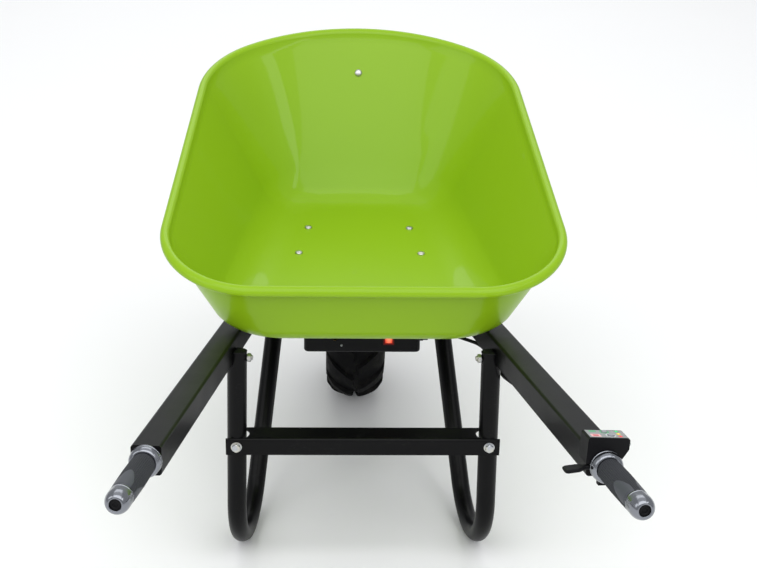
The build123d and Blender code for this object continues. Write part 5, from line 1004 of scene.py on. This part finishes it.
class BARROW_OT_tyre(bpy.types.Operator):
    """Form the tyre with its slanting lugs"""

    bl_idname = "barrow.tyre"
    bl_label = "Tyre"

    def execute(self, context):
        skin = tyre_skin(context.scene.barrow_tyre)
        piece("lugged_tyre", [skin], "tyre_rubber", ["tyre"], "wheel", sharp=40)
        return {"FINISHED"}


class BARROW_OT_grips(bpy.types.Operator):
    """Form the two ribbed grips"""

    bl_idname = "barrow.grips"
    bl_label = "Grips"

    def execute(self, context):
        settings = context.scene.barrow_grip
        for side, start in GRIP_STARTS.items():
            skin, tongues = grip_skin(start + FLANGE_LENGTH, GRIP_SPINS[side], settings)
            forms = [sided(side, skin)]
            piece(f"{side}_ribbed_grip", forms, "grip_rubber", [f"{side}_grip"], sharp=60, marks=tongues)
        return {"FINISHED"}


def plug_profile():
    """A bevelled disc whose face drops over a step to a shallow dish, a parabola of the radius."""
    side = [(0, RECESS_FLOOR), (7.4, RECESS_FLOOR), (7.4, 25), (6.9, 25.7), (5.9, 26)]
    step = [(4.4, 26), (3.9, 25.6), (3.6, 24.4)]
    dish = np.linspace(3.2, 0, 8)
    return [*side, *step, *np.stack([dish, 24 + 0.04 * dish**2], -1)]


def flange_profile():
    """A lip, a groove and a quarter of an ellipse that falls from the collar to the grip."""
    lip = [(BAR_BORE, 0), (20.4, 0), (21.2, 0.3), (21.5, 1), (21.5, 2.8), (21.2, 3.5)]
    groove = [(20.6, 3.8), (20.6, 4.6), (21.1, 4.9)]
    bore = [(16.5, FLANGE_LENGTH), (BAR_BORE, FLANGE_LENGTH), (BAR_BORE, 0)]
    return [*lip, *groove, *dome(4.8, 9.4, 5.2, 14, 16.5)[::-1], *bore]


def cap_profile():
    """A grooved sleeve that rounds over, a quarter of an ellipse, to the recess of its plug."""
    sleeve = [(BAR_BORE, 0), (15.3, 0), (15.8, 0.5), (15.8, 2.4), (15.2, 2.8), (15.2, 3.6), (15.8, 4)]
    recess = [(7.8, 27.8), (7.5, 27.2), (7.5, RECESS_FLOOR), (0, RECESS_FLOOR)]
    bore = [(0, CAP_SOCKET), (BAR_BORE, CAP_SOCKET), (BAR_BORE, 0)]
    return [*sleeve, *dome(7.4, 15, 13, 16, 8.4)[::-1], *recess, *bore]


class BARROW_OT_collars(bpy.types.Operator):
    """Turn the grips' rounded flanges, domed end caps and dished plugs"""

    bl_idname = "barrow.collars"
    bl_label = "Flanges and caps"

    def execute(self, context):
        plugs = []
        for side, start in GRIP_STARTS.items():
            front, rear = (BAR_END.moved(0, 0, start + along) for along in (0, FLANGE_LENGTH + GRIP_LENGTH))
            for name, place, profile in (("flange", front, flange_profile()), ("cap", rear, cap_profile())):
                skin, node = [sided(side, turned(place, profile, 96))], f"{side}_grip_{name}"
                piece(f"{side}_turned_grip_{name}", skin, "polished_alloy", [node], sharp=50)
            plugs.append(sided(side, turned(rear, plug_profile())))
        piece("dished_plugs", plugs, "black_plastic", ["grip_plugs"], sharp=50)
        return {"FINISHED"}


def paddle(place):
    """A rounded square section carried inboard from the ring: it widens into the pad, thins, and closes
    on a round tip. The pad's middle dips under the thumb."""
    half = LEVER_WIDTH / 2
    share = even(48)[:, None]
    turn = circle(48)
    grow = np.clip((share - PAD_START) / PAD_RUN, 0, 1)
    grow = grow * grow * (3 - 2 * grow)
    tip = np.sqrt(np.clip(1 - (np.maximum(share - TIP_START, 0) / (1 - TIP_START)) ** 2, 0, 1))
    closing = (0.4 * tip + 0.6 * (tip > 0)) * (share < 1)
    wide = (half + (PAD_HALF - half) * grow) * closing
    thick = (LEVER_HALF + 0.5 * grow) * tip
    across, over = (np.sign(wave) * np.abs(wave) ** SQUARENESS for wave in (cos(turn), sin(turn)))
    dip = PAD_DIP * grow * tip * np.maximum(over, 0) * (1 - across**2)
    return place.at(-LEVER_ROOT - LEVER_REACH * share, thick * over - dip, half + wide * across)


class BARROW_OT_lever(bpy.types.Operator):
    """Form the thumb lever with its rounded paddle"""

    bl_idname = "barrow.lever"
    bl_label = "Thumb lever"

    def execute(self, context):
        place = BAR_END.moved(0, 0, LEVER_BACK).spun(LEVER_DROP)
        inner, outer, far, edge = BAR_BORE, LEVER_RADIUS, LEVER_WIDTH, LEVER_EDGE
        rim = [(outer - edge, 0), (outer, edge), (outer, far - edge), (outer - edge, far)]
        forms = [turned(place, [(inner, 0), *rim, (inner, far), (inner, 0)]), paddle(place)]
        piece("thumb_paddle", forms, "black_plastic", ["thumb_lever"], "lever", sharp=50)
        return {"FINISHED"}


def leg_cap(ahead, reach):
    """Rings about the tube's middle. Each is an ellipse cut off along the rail, and its height follows
    a flat dome that ends in a short skirt."""
    turn = circle(64)
    face = -RAIL_WIDTH / 2 - LEG_CAP_ROOM
    ellipse = LEG_CAP_RADIUS * cos(turn) + (-LEG_INSET - LEG_CAP_MIDDLE)
    across = np.minimum(ellipse, face - LEG_CAP_MIDDLE)
    share = np.array([0, 0.25, 0.5, 0.75, 0.9, 0.97, 1, 1, 0.5, 0])[:, None]
    height = np.array([4, 3.9, 3.6, 2.9, 2.1, 1.4, 0.7, 0.2, 0.2, 0.2])[:, None]
    along = -ahead - share * reach * sin(turn)
    return RAIL.at(LEG_CAP_MIDDLE + share * across, height, along)


class BARROW_OT_leg_caps(bpy.types.Operator):
    """Close the cut ends of the leg tubes with domed caps"""

    bl_idname = "barrow.leg_caps"
    bl_label = "Leg caps"

    def execute(self, context):
        reaches = (LEG_CAP_RADIUS, LEG_CAP_RADIUS / sin(LEG_RISE + PITCH))
        caps = [leg_cap(ahead, reach) for ahead, reach in zip(leg_stations(0), reaches)]
        piece("leg_end_caps", both(caps), "black_plastic")
        return {"FINISHED"}


def tray_bolts():
    stretch = np.sqrt(1 + FLOOR.slope**2)
    floor = Place((0, LEG_Y, height_of(FLOOR, 0)), (1, 0, 0), (0, -FLOOR.slope, 1))
    spots = [(side * x, station) for x, station in FLOOR_BOLTS for side in (-1, 1)]
    places = [floor.moved(x, station * stretch, SHEET / stretch) for x, station in spots]
    forms = [form for place in places for form in dome_bolt(place, (SHEET + STRIP_SHEET) / stretch)]
    forms += dome_bolt(nose_bolt_place(), SHEET + STRUT_OUT + STRUT_RADIUS + NUT_SEAT)
    bolt_piece("tray_dome_bolts", forms, "tray_bolts")


def deck_bolts():
    """Bolts square to the rails' plane: of the tray supports, axle brackets, hangers and lid."""
    foot = STRIP_SHEET * cos(PITCH)
    feet = [(station - RAIL_TOP * sin(PITCH)) / cos(PITCH) for _, station in FLOOR_BOLTS]
    strips = [ahead + STRIP_BOLT_AHEAD for ahead in feet]
    brackets = [bracket_ahead() + side * BRACKET_BOLT_PITCH / 2 for side in (-1, 1)]
    for name, stations, over, under, node in (
        ("strip_hex_bolts", strips, foot, 0, "support_bolts"),
        ("bracket_hex_bolts", brackets, STRUT_FOOT_SHEET, WEB_SHEET, "bracket_bolts"),
        ("hanger_hex_bolts", BAR_STATION, BAR_SHEET, 0, "hanger_bolts"),
    ):
        seats = [DECK.at(rail_x(ahead), ahead, RAIL_TOP + over) for ahead in stations]
        places = [Place(seat, RAIL.axes[2], DECK.axes[2]) for seat in seats]
        bolt_piece(name, both(hex_bolts(places, over + RAIL_HEIGHT + under)), node)

    spots = [(side * LID_BOLT_X, ahead) for ahead in BAR_STATION for side in (-1, 1)]
    places = [DECK.moved(x, ahead, RAIL_TOP + BAR_SHEET) for x, ahead in spots]
    bolt_piece("lid_hex_bolts", hex_bolts(places, BAR_SHEET + LID_SHEET, *LID_BOLT), "lid_bolts")


def leg_bolts():
    """Bolts through the legs: at the rails, and at the brace."""
    seats = [RAIL.at(RAIL_WIDTH / 2, -LEG_BOLT_DROP, -ahead) for ahead in leg_stations(LEG_BOLT_DROP)]
    places = [Place(seat, -RAIL.axes[2], RAIL.axes[0]) for seat in seats]
    grip = RAIL_WIDTH / 2 + LEG_INSET + LEG_RADIUS + NUT_SEAT
    bolt_piece("leg_hex_bolts", both(hex_bolts(places, grip)), "leg_bolts")

    low, high = (np.array(corner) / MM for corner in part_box("brace_bolts"))
    _, _, height, washer, sheet = BRACE_BOLT
    seat = (high[0] - washer, low[1] + height + sheet, (low[2] + high[2]) / 2)
    grip = BRACE_SHEET + 2 * LEG_RADIUS + NUT_SEAT + BRACE_NUT_ROOM
    forms = hex_bolt(Place(seat, (1, 0, 0), (0, -1, 0)), grip, *BRACE_BOLT)
    bolt_piece("brace_flange_bolts", both(forms), "brace_bolts")


def bolt_piece(name, forms, node):
    piece(name, forms, "zinc", [node], sharp=25)


class BARROW_OT_bolts(bpy.types.Operator):
    """Form the frame's bolts with chamfered heads, nuts and threads"""

    bl_idname = "barrow.bolts"
    bl_label = "Bolts"

    def execute(self, context):
        tray_bolts()
        deck_bolts()
        leg_bolts()
        return {"FINISHED"}


class BARROW_OT_welds(bpy.types.Operator):
    """Lay the weld beads of the strut's feet and the axle brackets"""

    bl_idname = "barrow.welds"
    bl_label = "Welds"

    def execute(self, context):
        middle = bracket_ahead()
        foot = rail_x(middle)
        level = STRUT_FOOT_SHEET + WELD_UP
        top = nose_bolt_place().at(0, 0, -SHEET - STRUT_OUT) - DECK.at(0, middle, RAIL_TOP)
        lean = level / np.dot(top, DECK.axes[2])
        aside, ahead = (foot - STRUT_TOP_HALF) * lean, np.dot(top, DECK.axes[1]) * lean
        turn = circle(89)
        x = foot - aside + (STRUT_RADIUS + WELD_UP) * cos(turn)
        y = middle + ahead + (STRUT_RADIUS + WELD_OUT) * sin(turn)
        ring = DECK.at(x, y, RAIL_TOP + level)
        half = BRACKET_LENGTH / 2 - SEAM_MARGIN
        run = middle + np.linspace(-half, half, 90)
        seam = DECK.at(WEB_INSIDE + WEB_SHEET + WELD_OUT, run, -RAIL_TOP - WEB_SHEET - WELD_OUT)
        beads = [weld_bead(ring, 1.9), weld_bead(seam, 2.4)]
        piece("frame_welds", both(beads), "frame_paint", sharp=70)
        return {"FINISHED"}


class BARROW_OT_socket_pin(bpy.types.Operator):
    """Set the contact pin in the charge port, and the charge lamp beside it"""

    bl_idname = "barrow.socket_pin"
    bl_label = "Charge pin and lamp"

    def execute(self, context):
        place = BOX_FACE.moved(*SOCKET_PLACE)
        pin = [*dome(1.2, 1.2, -3, 8), (1.2, SOCKET_END), (0, SOCKET_END)]
        collar = [(5, SOCKET_END), (4.9, -1), (4.6, -0.6), (4.4, -1), (4.4, SOCKET_END)]
        forms = [turned(place, pin, 24), turned(place, collar, 40)]
        piece("charge_pin", forms, "pin_brass")
        lamp = [*dome(2.1, 1.5, 1, 8), (2.1, 0), (0, 0)]
        piece("charge_lamp", [turned(BOX_FACE.moved(*CHARGE_LAMP_PLACE), lamp, 32)], "grey_key")
        return {"FINISHED"}


class BARROW_OT_finishes(bpy.types.Operator):
    """Give every solid of the frame its finish"""

    bl_idname = "barrow.finishes"
    bl_label = "Finishes"

    def execute(self, context):
        for subpart in frame["record"]["subparts"]:
            node = subpart["node"]
            mesh = frame["nodes"][node].data
            mesh.materials.clear()
            mesh.materials.append(finish_of(OWN_FINISH.get(node, subpart["material_slot"])))
        return {"FINISHED"}


def set_floor(settings):
    """A round floor: rings of points whose radius grows evenly."""
    turn = circle(96)
    radius = np.linspace(0, FLOOR_RADIUS, 12)[:, None]
    grid = np.stack([radius * cos(turn), radius * sin(turn), 0 * radius * turn], -1)
    mesh = bpy.data.meshes.new("studio_floor")
    mesh.from_pydata(grid.reshape(-1, 3).tolist(), [], quads(grid).tolist())
    look = Finish("studio_floor", Roughness=0.75)
    colour = tuple(settings.floor_colour)
    look.colour(look.noise(3), scaled(colour, 0.99), colour)
    shown("studio_floor", mesh, look.material)


def set_lights(context, settings):
    world = bpy.data.worlds.new("studio")
    world.use_nodes = True
    background = world.node_tree.nodes["Background"].inputs
    background["Color"].default_value = WORLD_COLOUR
    background["Strength"].default_value = WORLD_STRENGTH
    context.scene.world = world
    context.scene.view_settings.view_transform = "Standard"
    for name, (place, aim, size, share) in LIGHTS.items():
        lamp = bpy.data.lights.new(name, "AREA")
        lamp.shape = "RECTANGLE"
        lamp.size, lamp.size_y = size
        lamp.energy = settings.light * share
        light = bpy.data.objects.new(name, lamp)
        back = unit(np.array(place) - np.array(aim))
        side = unit(np.cross((0.02, 1, 0.1), back))
        stand(context, light, place, (side, np.cross(back, side), back))


def set_camera(context, settings):
    """The view's direction falls and turns from straight ahead, and the picture rolls about it."""
    fall, turn, roll = settings.camera_turn
    ahead = np.array([sin(turn) * cos(fall), cos(turn) * cos(fall), -sin(fall)])
    right = np.array([cos(turn), -sin(turn), 0])
    up = np.cross(right, ahead)
    right, up = cos(roll) * right + sin(roll) * up, cos(roll) * up - sin(roll) * right
    lens = bpy.data.cameras.new("photo_camera")
    lens.sensor_fit = "HORIZONTAL"
    lens.sensor_width = SENSOR_WIDTH
    lens.lens = SENSOR_WIDTH * settings.focal / PICTURE_WIDTH
    lens.clip_end = 50
    camera = bpy.data.objects.new("photo_camera", lens)
    stand(context, camera, settings.camera_place, (right, up, -ahead))
    context.scene.camera = camera


def stand(context, thing, place, axes):
    """Puts a light or camera at a place, with its own axes along three directions."""
    turn = Matrix(np.stack(axes, 1).tolist()).to_4x4()
    thing.matrix_world = Matrix.Translation(place) @ turn
    context.scene.collection.objects.link(thing)


class BARROW_OT_stage(bpy.types.Operator):
    """Set the floor, the lights and the camera"""

    bl_idname = "barrow.stage"
    bl_label = "Stage"

    def execute(self, context):
        settings = context.scene.barrow_stage
        set_floor(settings)
        set_lights(context, settings)
        set_camera(context, settings)
        return {"FINISHED"}


OPERATORS = (
    BARROW_OT_finishes,
    BARROW_OT_tray,
    BARROW_OT_tyre,
    BARROW_OT_grips,
    BARROW_OT_collars,
    BARROW_OT_lever,
    BARROW_OT_leg_caps,
    BARROW_OT_bolts,
    BARROW_OT_welds,
    BARROW_OT_socket_pin,
    BARROW_OT_stage,
)


class BARROW_PT_panel(bpy.types.Panel):
    """Lists the barrow's settings and steps"""

    bl_label = "Electric Wheelbarrow"
    bl_idname = "BARROW_PT_panel"
    bl_space_type = "VIEW_3D"
    bl_region_type = "UI"
    bl_category = "Barrow"

    def draw(self, context):
        for name, group in SETTINGS.items():
            box = self.layout.box()
            for key in group.__annotations__:
                box.prop(getattr(context.scene, name), key)
        for operator in OPERATORS:
            self.layout.operator(operator.bl_idname)


SETTINGS = {
    "barrow_paint": BarrowPaint,
    "barrow_tyre": BarrowTyre,
    "barrow_grip": BarrowGrip,
    "barrow_stage": BarrowStage,
}


def register():
    for name, group in SETTINGS.items():
        bpy.utils.register_class(group)
        setattr(bpy.types.Scene, name, bpy.props.PointerProperty(type=group))
    for item in (*OPERATORS, BARROW_PT_panel):
        bpy.utils.register_class(item)


def unregister():
    for item in (BARROW_PT_panel, *OPERATORS[::-1]):
        bpy.utils.unregister_class(item)
    for name, group in SETTINGS.items():
        delattr(bpy.types.Scene, name)
        bpy.utils.unregister_class(group)


def main():
    register()
    for operator in OPERATORS:
        group, name = operator.bl_idname.split(".")
        getattr(getattr(bpy.ops, group), name)()


if __name__ == "__main__":
    main()
